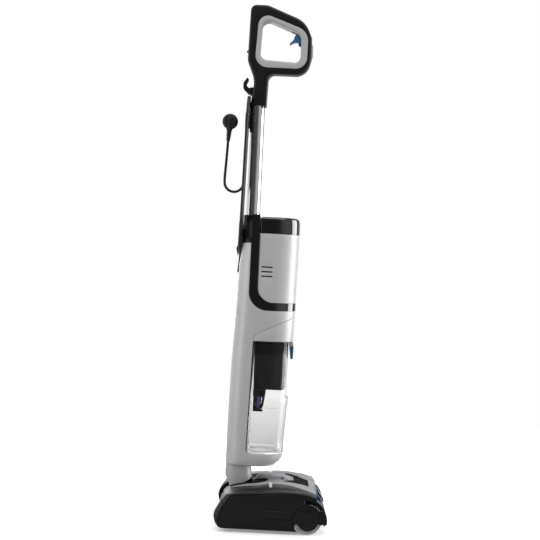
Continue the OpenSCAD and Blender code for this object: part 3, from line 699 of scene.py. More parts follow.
# Rear nub, the joint line's screws and the pale clip between stem and cord
place(lathe("handle_nub", [(0, -102), (1.6, -101.8), (2.7, -100.9), (3.1, -99.6), (3.1, -95), (0, -95)],
    (0, 0, 1066), "X", 32), "upright", "black_casing")
SCREWS = [(-84, 1152), (-70.5, 968)]
for i, (x, z) in enumerate(SCREWS):
    screw = lathe(f"screw_{i}", [(0, 18.3), (1.0, 18.3), (1.15, 18.9), (2.5, 18.9), (2.8, 18.6),
        (2.8, 17.5), (0, 17.5)], (0, 0, 0), "Y", 24)
    place(moved(screw, x, 0, z, -1), "upright", "steel")
place(box("cord_clip", -89.7, -88.7, -5, 5, 942, 962, 0.4), "upright", "panel_grey")

# ---- hooks

def drum(name, z, back, inner, flange):
    x = layer_x(z)
    return lathe(name, [(0, x - 4.8), (flange - 0.7, x - 4.8), (flange, x - 4.4), (flange, x - 3.8),
        (flange - 0.5, x - 3.3), (inner + 0.6, x - 3.3), (inner, x - 2.8), (inner, back), (0, back)],
        (0, 0, z), "X", 64)


crescent = slab("crescent", rounded([(-85.65, 966, 0), (-89, 966, 0), (-89, 968.4, 0), (-94, 968.4, 4),
    (-106.5, 980, 12), (-106.5, 994, 8), (-97.5, 1007, 1.5), (-94, 1001, 2), (-98.5, 992, 4),
    (-98.8, 987.5, 5), (-93.5, 982, 5), (-83.3, 984.5, 0)], 8), -9, 9, edge=1.2)
upper = join("upper_cord_hook", crescent, drum("drum", SADDLE_HIGH, -89.2, 15, 21.4),
    box("plate", -89.3, -88.1, -9, 9, 892, 986, 0.4))
place(upper, "upright", "black_casing", stands_for="upper_hook")
low_x = layer_x(SADDLE_LOW)
tongue = slab("tongue", rounded([(low_x - 3.4, SADDLE_LOW, 0), (low_x - 4.8, SADDLE_LOW, 0), (-102, 624, 6),
    (-104.8, 617, 2), (-101, 600, 0.8), (-100.2, 600, 0.3), (-100.2, 618, 3)], 5), -8, 8, edge=0.5,
    segments=3)
lower = join("lower_cord_hook", drum("drum", SADDLE_LOW, -92.5, 15, 19.4), tongue)
place(lower, "lower_hook", "black_casing", stands_for="lower_hook")

# ---- upright body

BODY = [(131, -105.5, 7, 111, 30, 47), (140, -105.5, 14.5, 114.5, 33, 51), (149, -105.5, 20, 116, 34, 52)]
BODY += [(z, x0, x1, 116, 34, 52) for z, x0, x1 in ((158, -105.5, 22.5), (225, -105.5, 25), (376, -103, 30),
    (411, -101.4, 33.8), (480, -98.5, 35.4), (500, -97.6, 35.5), (583, -95.8, 35.5), (604, -92.7, 35.5),
    (630, -92.2, 35.5))]


def body_rings(z0, z1, bottom=0.0, top=0.0):
    levels = [between(BODY, z0)] + [lv for lv in BODY if z0 < lv[0] < z1] + [between(BODY, z1)]
    levels = [(z, *rest) for (_, *rest), z in zip(levels,
        [z0] + [lv[0] for lv in BODY if z0 < lv[0] < z1] + [z1])]
    return plan_levels(levels, bottom, top, 6)


SEAM = [(-56.5, 420, 3), (-47.5, 429, 4), (60, 478.5, 0)]
body = loft("upright_body", body_rings(131, 629.8, 5.0, 1.5))
cut(body, slab("tank_room", rounded([(-62.3, 157.7, 12), (60, 157.7, 0)] + SEAM[::-1], 12), -80, 80))
cut(body, slab("pod_room", rounded([(-70.6, 720, 0), (-70.6, 480, 42), (60, 480, 0), (60, 720, 0)], 16),
    -80, 80))
cut(body, box("rear_room", -130, -78, -46, 46, 165, 470))
cut(body, box("gland_room", -120, -90.9, 27, 61, 561, 640))
inner = loft("inner", plan_levels([(440, -88, 10, 100, 20, 8), (629, -86, 10, 100, 20, 8)]))
cut(inner, box("keep", -74.5, 80, -80, 80, 300, 700))
cut(body, inner)
soften(body, 0.7, 3, 35)
place(body, "upright", "silver_body", stands_for="main_body", angle=32)

lid = loft("tank_lid_shell", body_rings(411.3, 478))
cut(lid, slab("lid_side", rounded([(-55.9, 411.3, 0), (60, 411.3, 0), (60, 477.9, 0), (-47.3, 428.4, 4),
    (-55.9, 419.7, 3)], 8), -80, 80), "INTERSECT")
ears = [box("ear", 25.4, 32.8, s * 18 - 1.4, s * 18 + 1.4, 400.5, 413, 0.5) for s in (-1, 1)]
soften(lid, 0.6, 3, 35)
place(join("tank_lid_cover", lid, *ears), "dirty_tank", "silver_body", stands_for="tank_lid", angle=32)

# Motor pod: its lower rear corner follows the trim band
POD_REAR, POD_FOOT, POD_TURN_TOP, POD_CORNER = -52.9, 497.8, 531.5, 34


def pod_rear(z):
    if z >= POD_TURN_TOP:
        return POD_REAR
    return POD_REAR + POD_CORNER - sqrt(max(0.0, POD_CORNER ** 2 - (POD_TURN_TOP - z) ** 2))


heights = [POD_FOOT + (POD_TURN_TOP - POD_FOOT) * (k / 12) ** 1.6 for k in range(13)] + [560, 600, 640, 651.8]
pod = loft("motor_pod", [plan_ring(pod_rear(z), 35.6 + 2.2 * (z - POD_FOOT) / 154, 113, 5, 54, z)
    for z in heights])
for z in (556.5, 566.5, 577):
    for s in (-1, 1):
        slot_outline = rounded([(-45.5, z - 1.5, 1.4), (-20, z - 1.5, 1.4), (-20, z + 1.5, 1.4),
            (-45.5, z + 1.5, 1.4)], 6)
        cut(pod, slab("louvre", slot_outline, *sorted((s * 53.4, s * 62))))
        # Near-black sheet at the floor of each slot: painted shade, standing in for the dark inside of an
        # open vent
        place(slab(f"louvre_{z:.0f}_{'a' if s < 0 else 'b'}", slot_outline, s * 53.6 - 0.25,
            s * 53.6 + 0.25), "upright", "dark_slot")
soften(pod, 0.5, 2, 40)
place(pod, "upright", "silver_body", stands_for="pod_shell", angle=32)

cap = loft("pod_top_cap", plan_levels([(652.1, -52.5, 38, 113.4, 5, 54), (660, -52.5, 38, 113.6, 5, 54),
    (676, -52.5, 37.7, 113.6, 5, 54), (689.7, -52.5, 37.2, 113, 5, 54)], 0.6, 8.0, 9))
place(cap, "upright", "black_gloss", stands_for="pod_cap", angle=45)

band = slab("j_band", rounded([(-70.3, 694, 2), (-70.8, 480.2, 42), (60, 480.2, 0), (60, 497.4, 0),
    (-53.3, 497.4, 34), (-53, 694, 2)], 18), -80, 80)
cut(band, loft("outer", [plan_ring(-72, 36.2, 117.2, 2, 54, z, 16, 2) for z in (470, 700)]), "INTERSECT")
cut(band, loft("inner", [plan_ring(-90, 31, 108, 2, 50, z, 16, 2) for z in (460, 710)]))
soften(band, 2.4, 6, 35)
place(band, "upright", "black_gloss", stands_for="trim_band", angle=40)


STICK_X = -71.4


def ease(t):
    return t * t * (3 - 2 * t)


collar_rings = []
for k in range(17):
    t = k / 16
    s = ease(min(1, t * 1.08))
    z = 630.3 + (692.5 - 630.3) * t
    swell = 1.2 * sin(pi * min(1, t * 1.6))
    x0 = -91.6 - swell * 0.3 + 0.4 * t
    collar_rings.append(plan_ring(x0, -53.4, 106 + (42 - 106) * s, 25 + (18.4 - 25) * s, 7 + (18.4 - 7) * s,
        z))
collar_rings.append(plan_ring(-90.6, -54.2, 40, 18, 18, 693.6))
collar_rings.append(plan_ring(-89.4, -55.3, 37.6, 17, 17, 693.9))
collar = loft("stick_collar", collar_rings)
cut(collar, rod("bore", 16.55, 600, 700, (STICK_X, 0, 0), "Z", 96))
place(collar, "upright", "black_casing", stands_for="tube_collar", angle=40)

tube = lathe("chrome_stick", [(15, 631), (16.4, 631), (16.5, 631.4), (16.5, 942.6), (16.3, 943),
    (12.5, 943), (12.5, 972), (11, 972), (11, 941.5), (15, 941.5), (15, 631)], (STICK_X, 0, 0), "Z", 128)
place(tube, "upright", "chrome_tube", stands_for="stick_tube", angle=30)

# ---- dirty water tank

BIN = [(158.2, -57.5, 22, 103, 8, 42)]
BIN += [(z, x0, x1, 111.6, 9, front) for z, x0, x1, front in ((164, -61.6, 22.3, 46),
    (200, -61.0, 23.4, 47), (255, -59.9, 26.4, 49), (272, -59.5, 28.2, 50), (278, -59.4, 28.4, 50),
    (283.6, -59.2, 28.2, 50), (284.6, -59.2, 28.2, 50), (300, -58.8, 28.4, 50), (374, -57.1, 29.2, 50),
    (410.8, -56.4, 30, 50))]


# Tank: foot, step under the latch, top edge and wall thickness
TANK_FOOT, STEP_Z, TANK_TOP, TANK_WALL = 158.2, 284, 410.8, 2.3


def bin_face(z, inset):
    """Front of the tank: flat and set back above the step, so that a finger fits behind the latch."""
    return 99 if z < STEP_Z else 23.0 + 0.6 * (z - STEP_Z) / 127 - inset


def bin_rings(z0, inset):
    levels = [lv for lv in BIN if lv[0] > z0 + 0.5]
    levels = [(z0, *between(BIN, max(z0, TANK_FOOT))[1:])] + levels
    rings = plan_levels(levels, 4.0 if not inset else 3.0, 0, 5, inset)
    out = []
    for ring in rings:
        z = ring[0][2]
        face = bin_face(z, inset)
        out.append([(min(x, face), y, z) for x, y, _ in ring])
    return out


outer, hollow = bin_rings(TANK_FOOT, 0.0), bin_rings(161.0, TANK_WALL)
hollow[-1] = [(x, y, TANK_TOP) for x, y, _ in hollow[-1]]
tank = loft("tank_bin_clear", outer + hollow[::-1])
soften(tank, 0.5, 2, 40)
place(tank, "dirty_tank", "clear_tank", stands_for="tank_bin", angle=32)

FLOAT_AXIS = (-38, 0, 0)
insert_main = loft("insert_main", plan_levels([(301, -50, 18.4, 62, 3, 14), (306, -51, 19.8, 62, 3, 15),
    (350, -52.5, 20.0, 62, 3, 15), (410.6, -54, 20.3, 62, 3, 15)], 2.0, 0.5, 4))
for k in range(5):
    cut(insert_main, box("groove", -30 + k * 9, -28.8 + k * 9, -33, -30.5, 312, 420))
insert_neck = box("insert_neck", -52, -26.5, -13.5, 13.5, 284, 302, 1.5)
cut(insert_neck, rod("float_room", 10.3, 283, 301, FLOAT_AXIS, "Z", 48))
cage_outline = rounded([(-50.5, 250, 3), (-36, 250, 2), (-27, 262, 3), (-22, 300, 4), (-50.5, 300, 2)], 6)
window = rounded([(-46.5, 257, 4), (-37, 257, 3), (-31, 266, 4), (-29.5, 284, 4), (-46.5, 284, 4)], 6)
cages = [slab("cage", cage_outline, y, y + 2.2, window, 0.6, 0.6, 3) for y in (-13.2, 11)]
cage_floor = box("cage_floor", -50, -28, -13, 13, 249.2, 251, 0.3)
stem = rod("stem", 1.9, 250, 306, FLOAT_AXIS, "Z", 24)
place(join("tank_insert_body", insert_main, insert_neck, *cages, cage_floor, stem), "dirty_tank",
    "dark_insert", stands_for="tank_insert", angle=35)
float_body = lathe("float_bobbin", [(2.1, 251.4), (7.5, 251.4), (9.3, 253), (9.5, 256), (9.5, 279),
    (9.1, 281.8), (7.2, 283), (2.1, 283), (2.1, 251.4)], FLOAT_AXIS, "Z", 48)
place(float_body, "float", "float_purple", stands_for="float")
# Dark strips in the gap along the tank's rear edges: painted shade of the seam between tank and body
seam_shade_shape = [(-61.9, 163), (-59.7, 163), (-54.4, 410), (-56.6, 410)]
for s, label in SIDES:
    place(slab(f"tank_seam_shade_{label}", seam_shade_shape, *sorted((s * 55.9, s * 56.3))), "dirty_tank", "dark_slot")
place(box("level_line", -23, 2, -56.05, -55.75, 262.7, 263.2), "dirty_tank", "inner_plastic")

latch = slab("tank_latch_lever", rounded([(25.8, 409.2, 0.5), (34, 409.2, 1.5), (36, 396, 8),
    (34.8, 371.5, 1.2), (29.5, 371.5, 1), (27.5, 388, 6), (25.8, 400, 0.5)], 6), -16, 16, edge=0.5)
latch_pin = rod("pin", 1.9, -19.2, 19.2, (29, 0, 405), "Y", 24)
place(join("tank_latch_lever", latch, latch_pin), "tank_latch", "trigger_blue",
    stands_for="tank_latch")

# ---- clean water tank

clean = loft("clean_tank_body", body_rings(165.4, 469.6, 2.0, 2.0))
cut(clean, box("bay", -130, -75.2, -45.7, 45.7, 100, 500), "INTERSECT")
cut(clean, rod("cap_seat", 15.6, -120, -95.6, (0, 0, 422), "X", 64))
cut(clean, box("hinge_seat", -120, -97.6, -6, 6, 434, 447))
soften(clean, 0.8, 3, 35)
place(clean, "clean_tank", "clean_tank_clear", stands_for="clean_tank", angle=32)
knob = lathe("knob", [(0, -102.5), (9.5, -102.5), (10.5, -102.1), (11, -101.2), (13.6, -101.2),
    (14.6, -100.9), (15, -100), (15, -98.3), (0, -98.3)], (2.4, 0, 422), "X", 72)
cut(knob, box("grip", -101.6, -98.4, -12, 12, 420.5, 423.5, 0.4))
place(join("filler_cap_body", knob, box("lug", -100, -98, -5.5, 5.5, 434, 443, 0.4),
    rod("barrel", 1.6, -5.5, 5.5, (-99, 0, 443), "Y", 24)), "clean_tank_cap", "soft_rubber",
    stands_for="clean_tank_cap")

# ---- floor head

CROWN = [(-105, 8), (-113, 10), (-119, 21), (-120.5, 40), (-114, 57), (-106.7, 73), (-96, 82.5), (-63, 91),
    (-19, 96.8), (19.6, 100), (47, 98), (76, 91), (98.5, 83.8), (98.5, 60), (98.5, 30), (98.5, 8)]
SHOULDER = [(-105, 6.5), (-113, 8.5), (-121.5, 20), (-123.5, 38), (-115, 57), (-104, 73.5), (-93, 82.5),
    (-62, 87.5), (-19, 91), (18, 92.5), (45, 92), (73, 89.5), (98.5, 82.5), (98.5, 60), (98.5, 30),
    (98.5, 6.5)]
BRUSH_X, BRUSH_Z = 81.0, 31.5
BRUSH_AXIS = (BRUSH_X, 0, BRUSH_Z)
# The cover slopes from its crown, this far from the middle, over this width
CROWN_EDGE, SLOPE_WIDTH = 60.2, 55.8
# From here the casing turns over this width into its flat side
SHOULDER_Y, SIDE_TURN = 116, 15
SIDE_Y = SHOULDER_Y + SIDE_TURN
# Insets are drawn towards this point of the side view; the flat front beyond FRONT_X keeps its place
HEAD_MIDDLE = (-10, 45)
FRONT_X = 97


def brush_arc(r, a0, a1, n):
    """Points along an arc round the brush's axis, between two angles in degrees."""
    turns = [radians(a0 + (a1 - a0) * k / n) for k in range(n + 1)]
    return [(BRUSH_X + r * cos(a), BRUSH_Z + r * sin(a)) for a in turns]


def fan(r0, r1, a0, a1, n=24):
    """Outline of a ring sector round the brush's axis."""
    outer = brush_arc(r1, a0, a1, n)
    return [(BRUSH_X, BRUSH_Z)] + outer if r0 == 0 else outer + brush_arc(r0, a1, a0, n)


def brush_circle(r, n):
    turns = [2 * pi * k / n for k in range(n)]
    return [(BRUSH_X + r * cos(a), BRUSH_Z + r * sin(a)) for a in turns]


# Steps between each pair of points of the head's outlines
OUTLINE_STEPS = 7


def dense(points):
    """Smooth curve through the points, with the same count of steps between each pair."""
    pts = [Vector(p) for p in points]
    pts = [pts[0]] + pts + [pts[-1]]
    spans = range(1, len(pts) - 2)
    shares = [k / OUTLINE_STEPS for k in range(OUTLINE_STEPS)]
    out = [curve_point(*pts[i - 1:i + 3], t) for i in spans for t in shares]
    return [tuple(p) for p in out + [pts[-2]]]


def blend(y):
    """Share of the drop from the crown to the shoulder at a distance y from the middle."""
    t = min(1.0, (y - CROWN_EDGE) / SLOPE_WIDTH)
    return 1 - sqrt(max(0.0, 1 - t * t))


def side_ring(y, inset=0.0, at=None):
    """Outline of the head in the side view at a distance y from the middle, drawn at Y = at."""
    s = blend(y)
    u = min(1.0, max(0.0, (y - SHOULDER_Y) / SIDE_TURN))
    turned = 1 - sqrt(1 - u * u)
    points = [(c[0] + (d[0] - c[0]) * s, c[1] + (d[1] - c[1]) * s) for c, d in zip(CROWN, SHOULDER)]
    out = []
    for x, z in dense(points[:13]) + points[13:]:
        dx, dz = HEAD_MIDDLE[0] - x, HEAD_MIDDLE[1] - z
        reach = hypot(dx, dz)
        rim = 5.5 + 8.5 * min(1, max(0, (-84 - x) / 22))
        share = (rim * turned + inset) * (0.3 + 0.7 * min(1, max(0, (z - 10) / 26)))
        if x > FRONT_X:
            share = inset
        out.append((x + dx / reach * share, y if at is None else at, z + dz / reach * share))
    return out


def side_casing(name, open_for_roller):
    """Thin casing of one side, on +Y, with a sunk track round its arm."""
    rows = [CROWN_EDGE + SLOPE_WIDTH * k / 10 for k in range(10)]
    rows += [SHOULDER_Y + SIDE_TURN * sin(pi / 2 * k / 8) for k in range(9)]
    rings = [side_ring(y) for y in rows]
    rings += [side_ring(SIDE_Y, inset, at) for inset, at in ((0.9, 129.7), (2.0, 129.6), (3.2, 130.7))]
    cover = loft(name, rings)
    cut(cover, loft("inside", [side_ring(max(y, CROWN_EDGE), 3.0, y)
        for y in (59, 75, 90, 105, 116, 124, 127.6)]))
    cut(cover, box("under", -130, 102, 50, 105, -1, 60))
    cut(cover, box("belly", -113, 102, 50, 124, -1, 10))
    reach = 140 if open_for_roller else 120
    cut(cover, slab("roller_hole", brush_circle(33.5 if open_for_roller else 40.4, 96), 50, reach))
    cut(cover, slab("fan_hole", fan(0, 43.5, -80, 103 if open_for_roller else 74, 48), 50,
        reach if open_for_roller else 110))
    soften(cover, 0.8, 3, 42)
    arm_shape = [(-18, 31, 9.4), (46, 31, 0), (46, 50, 0), (-18, 50, 9.4)]
    moat = [(-20.5, 29, 10.5), (47, 29, 0), (47, 52, 0), (-20.5, 52, 10.5)]
    cut(cover, slab("moat", rounded(moat, 10), 129.9, 140))
    arm = slab("arm", rounded(arm_shape, 10), 126, 131.9, edge=2.4, segments=6)
    return join(name, cover, arm)


left = side_casing("left_side_casing", False)
end = slab("end", fan(4, 42.3, -40, 100, 48), 120.4, 131.8, edge=1.6)
end_low = slab("end_low", fan(4, 31.8, 99, 321, 64), 120.4, 130.8, edge=1.6)
hub_face = lathe("hub_face", [(0, 131.9), (12, 131.9), (12.6, 131.4), (13.4, 131.4), (14, 131.9),
    (22, 131.9), (22.5, 131.4), (22.5, 124), (0, 124)], BRUSH_AXIS, "Y", 96)
place(join("left_side_casing", left, end, end_low, hub_face), "floor_head", "black_head",
    stands_for="left_side_cover", angle=34)
right = side_casing("right_side_casing_source", True)
place(mirrored(right, "right_side_casing"), "floor_head", "black_head", stands_for="right_side_cover",
    angle=34)

# Release cap of the roller: ringed hub, fan of ribs and a rim, with closing walls behind them
disc = lathe("disc", [(0, -131.2), (5, -131.2), (5.6, -131.9), (12.4, -131.9), (13, -131.3), (14.2, -131.3),
    (14.8, -131.9), (20.8, -131.9), (22.2, -131.3), (22.6, -130), (22.6, -124.4), (0, -124.4)], BRUSH_AXIS,
    "Y", 96)
axle = rod("axle", 5, -124.6, -112, BRUSH_AXIS, "Y", 32)
back_ring = slab("back_ring", fan(22, 33, -16, 199, 60), -129.5, -126, edge=0.6)
rib_reach = {a: 42.4 if a < 20 else 38.5 if a < 40 else 36.5 for a in range(0, 100, 12)}
ribs = [slab("rib", fan(22.3, r, a - 2.2, a + 2.2, 3), -131, -126, edge=0.7) for a, r in rib_reach.items()]
deep = [slab("rib", fan(33.2, r, a - 2.2, a + 2.2, 3), -126, -112) for a, r in rib_reach.items()]
rim = slab("rim", fan(40.3, 42.4, -9, 22, 20), -131, -110, edge=0.5)
wall = slab("fan_wall", fan(32.6, 42.2, -9, 100, 40), -109.4, -107.2, edge=0.5)
place(wall, "floor_head", "black_head", angle=34)
fan_back = slab("fan_back", fan(22.3, 41.6, -12, 30, 24), -129.4, -124.5, edge=0.5)
place(join("roller_release_cap", disc, axle, back_ring, fan_back, *ribs, *deep, rim), "roller_end_cap",
    "black_head", stands_for="roller_end_cap", angle=34)

# Brush roll: short pile in a slow helix over the drum
BRUSH_SIDES = 144
bm = bmesh.new()
rows = []
for i in range(151):
    y = -124 + 228 * i / 150
    row = []
    for k in range(BRUSH_SIDES):
        a = 2 * pi * k / BRUSH_SIDES
        tuft = noise.noise(Vector((cos(a) * 9, sin(a) * 9, y * 0.32)))
        fine = noise.noise(Vector((cos(a) * 31, sin(a) * 31, y * 1.1)))
        wave = sin(a * 2 + y * 0.055)
        r = 30.75 + 0.3 * tuft + 0.25 * fine + 0.18 * wave
        row.append(bm.verts.new(mm((BRUSH_X + r * cos(a), y, BRUSH_Z + r * sin(a)))))
    rows.append(row)
for y, index in ((-124, 0), (104, len(rows) + 1)):
    rim_line = brush_circle(24.1, BRUSH_SIDES)
    rows.insert(index, [bm.verts.new(mm((x, y, z))) for x, z in rim_line])
skin_rows(bm, rows + rows[:1])
place(add("brush_pile", bm), "brush_roll", "brush_fabric", stands_for="brush_sleeve", angle=60)

# Clear window over the brush with its flange, its latch and the bumper under it
glass = slab("window_arc", fan(39.9, 41.6, 10, 62.5, 40), -105.4, 105.4, edge=0.5, segments=3)
flange = slab("window_flange", [(99.2, 66.9), (100.3, 68.2), (101.9, 81.9), (99.2, 81.9)], -105.4, 105.4,
    edge=0.3, segments=2)
place(join("front_window_clear", glass, flange), "front_window", "clear_window", stands_for="front_window",
    angle=30)
lips = [slab("lip", fan(37.8, 39.8, 12, 44, 24), y, y + 1.6, edge=0.4) for y in (-105.3, 103.7)]
place(join("window_end_lips", *lips), "front_window", "pale_edge", angle=34)
bar = slab("window_bar", fan(41.3, 41.95, 43, 60, 24), -70, 70, edge=0.2)
place(bar, "front_window", "latch_navy", angle=34)
key = slab("window_key", fan(42.1, 44.9, 28, 54, 24), -16, 16, edge=0.9)
place(key, "window_latch", "latch_navy", stands_for="window_latch", angle=34)
frame_rim = slab("window_key_rim", fan(42.0, 43.0, 27, 55, 24), -16.8, 16.8, edge=0.3)
cut(frame_rim, slab("frame_hole", fan(38, 48, 27.8, 54.2, 24), -16.15, 16.15))
place(frame_rim, "window_latch", "pale_edge", angle=34)
bumper = slab("soft_bumper", fan(39.9, 41.5, -24, 9, 30), -106.8, 106.8, edge=0.7, segments=4)
place(bumper, "floor_head", "black_head", stands_for="front_bumper", angle=34)

# Grey top cover with its raised deck, and the dark panels let into it
top_line = dense([(x, z) for x, z in CROWN[5:13]])
skin = slab("cover_skin", top_line + [(x, z - 3) for x, z in top_line[::-1]], -59.9, 59.9, edge=0.6,
    segments=3)
cut(skin, box("neck_slot", -130, -44, -41, 41, 30, 110))
deck_levels = [(93, -38, 43, 50, 8, 6), (101, -34, 38, 50, 8, 6), (106.4, -31, 31, 47, 8, 6)]
deck = loft("deck", plan_levels(deck_levels, 0, 2.5, 5))
for s in (-1, 1):
    cut(deck, plate("wedge", [(-45, s * 12), (-45, s * 40), (-2, s * 40), (-6, s * 24), (-28, s * 12)], 90,
        112))
cut(deck, slab("hollow", [(-34, 90), (-29, 100), (25, 100.5), (34, 92)], -22, 22))
place(join("top_cover_shell", skin, deck), "floor_head", "grey_cover", stands_for="top_cover", angle=34)


def crown_z(x):
    """Height of the cover's middle line at x."""
    for a, b in zip(top_line, top_line[1:]):
        if a[0] <= x <= b[0]:
            return a[1] + (b[1] - a[1]) * (x - a[0]) / (b[0] - a[0])
    return top_line[-1][1]


INLAY_LIFT, INLAY_SUNK = 0.85, 0.6


def inlay(name, outline):
    """Dark panel that follows the cover's crown over an outline in plan."""
    flat = plate(name, rounded(outline, 6), 0, 1)
    for x in range(-88, 90, 4):
        bm = bmesh.new()
        bm.from_mesh(flat.data)
        everything = bm.verts[:] + bm.edges[:] + bm.faces[:]
        bmesh.ops.bisect_plane(bm, geom=everything, plane_co=mm((x, 0, 0)), plane_no=(1, 0, 0))
        bm.to_mesh(flat.data)
        bm.free()
    for v in flat.data.vertices:
        v.co.z = (crown_z(v.co.x / MM) + (INLAY_LIFT if v.co.z > 0.5 * MM else -INLAY_SUNK)) * MM
    return flat


# Grey skirts that carry the cover's colour over the shoulders
SKIRT = [(-107, 62), (-85, 70), (-60, 80), (-37, 84), (-4, 80), (18, 84), (55, 92), (80, 98), (99, 103)]
SLOPE_LINES = list(zip(dense(CROWN[:13]), dense(SHOULDER[:13])))[35:]


def skirt(label, s):
    rings = []
    for c, d in SLOPE_LINES:
        edge = next(a[1] + (b[1] - a[1]) * (c[0] - a[0]) / (b[0] - a[0]) for a,
            b in zip(SKIRT, SKIRT[1:]) if c[0] <= b[0])
        row = []
        for k in range(11):
            y = 60.25 + (edge - 60.25) * k / 10
            share = blend(y)
            row.append((min(98.4, c[0] + (d[0] - c[0]) * share), s * y, c[1] + (d[1] - c[1]) * share))
        rings.append([(x, y, z + 0.55) for x, y, z in row] + [(x, y, z - 0.8) for x, y, z in row[::-1]])
    return soften(loft(f"cover_skirt_{label}", rings), 0.3, 2, 60)


for s, label in SIDES:
    place(skirt(label, s), "floor_head", "grey_cover", angle=40)

dark = []
for s in (-1, 1):
    dark.append(inlay("pit", [(-92, s * 41.2, 0), (-92, s * 57, 1), (-62, s * 58.8, 20),
        (-36, s * 58.6, 14), (-18, s * 50, 20), (-5, s * 25.5, 3), (-12, s * 25.2, 0), (-27, s * 12, 0),
        (-43.8, s * 12, 0), (-43.8, s * 41.2, 0)]))
    dark.append(inlay("wing", [(24, s * 51, 1), (44, s * 50, 30), (62, s * 45, 2), (58, s * 25, 0),
        (46, s * 25.2, 0)]))
dark.append(inlay("view", [(50, -25.4, 0), (62, -42, 2), (84, -36, 2), (84, 36, 2), (62, 42, 2),
    (50, 25.4, 0)]))
place(join("cover_dark_panels", *dark), "floor_head", "dark_slot", stands_for="cover_inlays",
    angle=30)


def shoulder_z(x, y):
    """Height of the cover's slope near the tabs, at a distance y from the middle."""
    crown = 96.8 + (x + 19) / 38.6 * 3.2
    shoulder = 91 + (x + 19) / 37 * 1.5
    return crown + (shoulder - crown) * blend(y)


def cover_tab(label, s):
    """Light clip tab that follows the slope outwards and narrows a little."""
    rings = []
    for k in range(13):
        y = 60.6 + (106 - 60.6) * k / 12
        half = 4.0 - 1.2 * k / 12
        rear, front = -2.5 - half, -2.5 + half
        rings.append([(rear, s * y, shoulder_z(rear, y) - 1.5), (front, s * y, shoulder_z(front, y) - 1.5),
            (front, s * y, shoulder_z(front, y) + 1.1), (rear, s * y, shoulder_z(rear, y) + 1.1)])
    return soften(loft(f"cover_tab_{label}", rings), 0.5, 3, 50)


LENS = [(0, -1.4), (1.6, -1.3), (2.6, -0.8), (2.9, 0), (2.9, 1.5), (0, 1.5)]
for s, label in SIDES:
    lens = lathe(f"status_lens_{label}", LENS, (0, 0, 0), "Y", 32)
    place(moved(lens, 24, s * 25.3, 102.5, -s), "floor_head", "trigger_blue")
    place(cover_tab(label, s), "floor_head", "panel_grey")

# Neck: an upper casing and a dark boot round the hinge barrel
NECK = [(38.5, -78, -64, 59, 5, 5), (42, -83, -59, 59, 8, 8), (48, -88, -53.5, 59, 12, 12),
    (58, -92.5, -47, 60, 15, 14), (70, -94, -45.2, 61, 17, 15), (79, -94.6, -44.9, 62, 18, 16),
    (90, -99.5, -44.4, 67, 20, 18), (104, -105.4, -45.4, 73, 24, 21), (115, -106, -47.5, 75, 25, 23),
    (130.6, -105.5, -50, 76, 25, 24)]
neck = loft("neck_casing", plan_levels(NECK, 0, 0.8, 4))
cut(neck, loft("neck_inside", plan_levels([(z if i else 34, x0, x1, w, rr, rf) for i,
    (z, x0, x1, w, rr, rf) in enumerate(NECK[:-1])] + [(135, *NECK[-1][1:])], 0, 0, 4, 3.2)))
cut(neck, rod("barrel_room", 12.1, -50, 50, (-71, 0, 62), "Y", 64))
boot = put("boot", neck.data.copy())
upper_part = [(-120, 74), (-93, 79), (-72, 86), (-55, 95), (-40, 104), (-40, 140), (-120, 140)]
cut(boot, slab("above", upper_part, -60, 60))
cut(neck, slab("above", upper_part, -60, 60), "INTERSECT")
soften(neck, 0.4, 2, 50)
place(neck, "neck", "neck_grey", stands_for="neck_shell", angle=40)
place(join("neck_boot", boot), "neck", "dark_slot", angle=40)

swivel_ring = lathe("swivel_ring", [(22.1, 131.5), (26.6, 131.5), (26.9, 131.8), (26.9, 145.7),
    (22.1, 145.7), (22.1, 131.5)], (-78, 0, 0), "Z", 96)
place(swivel_ring, "upright", "acetal", stands_for="swivel_bearing", angle=34)

# Wheels: soft tyre with a shallow tread on a dished rim
tyre = [(3.1, 77.6), (7.6, 77.6), (8, 78), (8, 83.6), (14.8, 84), (15.9, 83.4), (15.9, 80.8), (16.6, 80.1),
    (19.2, 80.1), (20, 81)]
for k in range(7):
    y = 82 + k * 1.8
    tyre += [(20, y), (20, y + 1.1), (19.55, y + 1.3), (19.55, y + 1.6)]
tyre += [(20, 95), (19.2, 95.9), (16.6, 95.9), (15.9, 95.2), (15.9, 92.2), (8, 91.9), (8, 98), (7.6, 98.4),
    (3.1, 98.4), (3.1, 77.6)]
for s, label in SIDES:
    wheel = moved(lathe(f"{label}_tyre", tyre, (0, 0, 0), "Y", 96), -92, 0, 20, s)
    place(wheel, f"{label}_wheel", "soft_rubber", stands_for=f"{label}_wheel", angle=34)

reskin("black_casing", "base_chassis", "bottom_plate", edge=0.5)
reskin("soft_rubber", "squeegee", "skid_pads", edge=0.6)


# ---- floor, light and world

def computed(tree, operation, *values):
    """Math node over numbers and other nodes' outputs."""
    node = new_node(tree, "Math")
    node.operation = operation
    for socket, value in zip(node.inputs, values):
        if isinstance(value, float):
            socket.default_value = value
        else:
            tree.links.new(value, socket)
    return node.outputs[0]


def lay_floor():
    """Round floor that fades out: pale to the eye, darker in what it throws back on the object."""
    floor = lathe("floor", [(0, 0), (400, 0), (800, 0), (1400, 0), (2200, 0), (3200, 0)], (0, 0, -0.4), "Z",
        96)
    material, tree, shader = new_material("floor_paint")
    seen = new_node(tree, "LightPath").outputs["Is Camera Ray"]
    colored(tree, shader, seen, (0.3, 0.3, 0.3), (0.93, 0.93, 0.93))
    tree.links.new(computed(tree, "MULTIPLY", seen, 0.26), shader.inputs["Emission Strength"])
    tune(shader, Roughness=0.75, Emission_Color=(1, 1, 1, 1))
    where = new_node(tree, "TexCoord")
    length = new_node(tree, "VectorMath")
    length.operation = "LENGTH"
    tree.links.new(where.outputs["Object"], length.inputs[0])
    tree.links.new(spread(tree, length.outputs["Value"], 1.0, 0.0, 0.5, 2.6), shader.inputs["Alpha"])
    floor.data.materials.append(material)


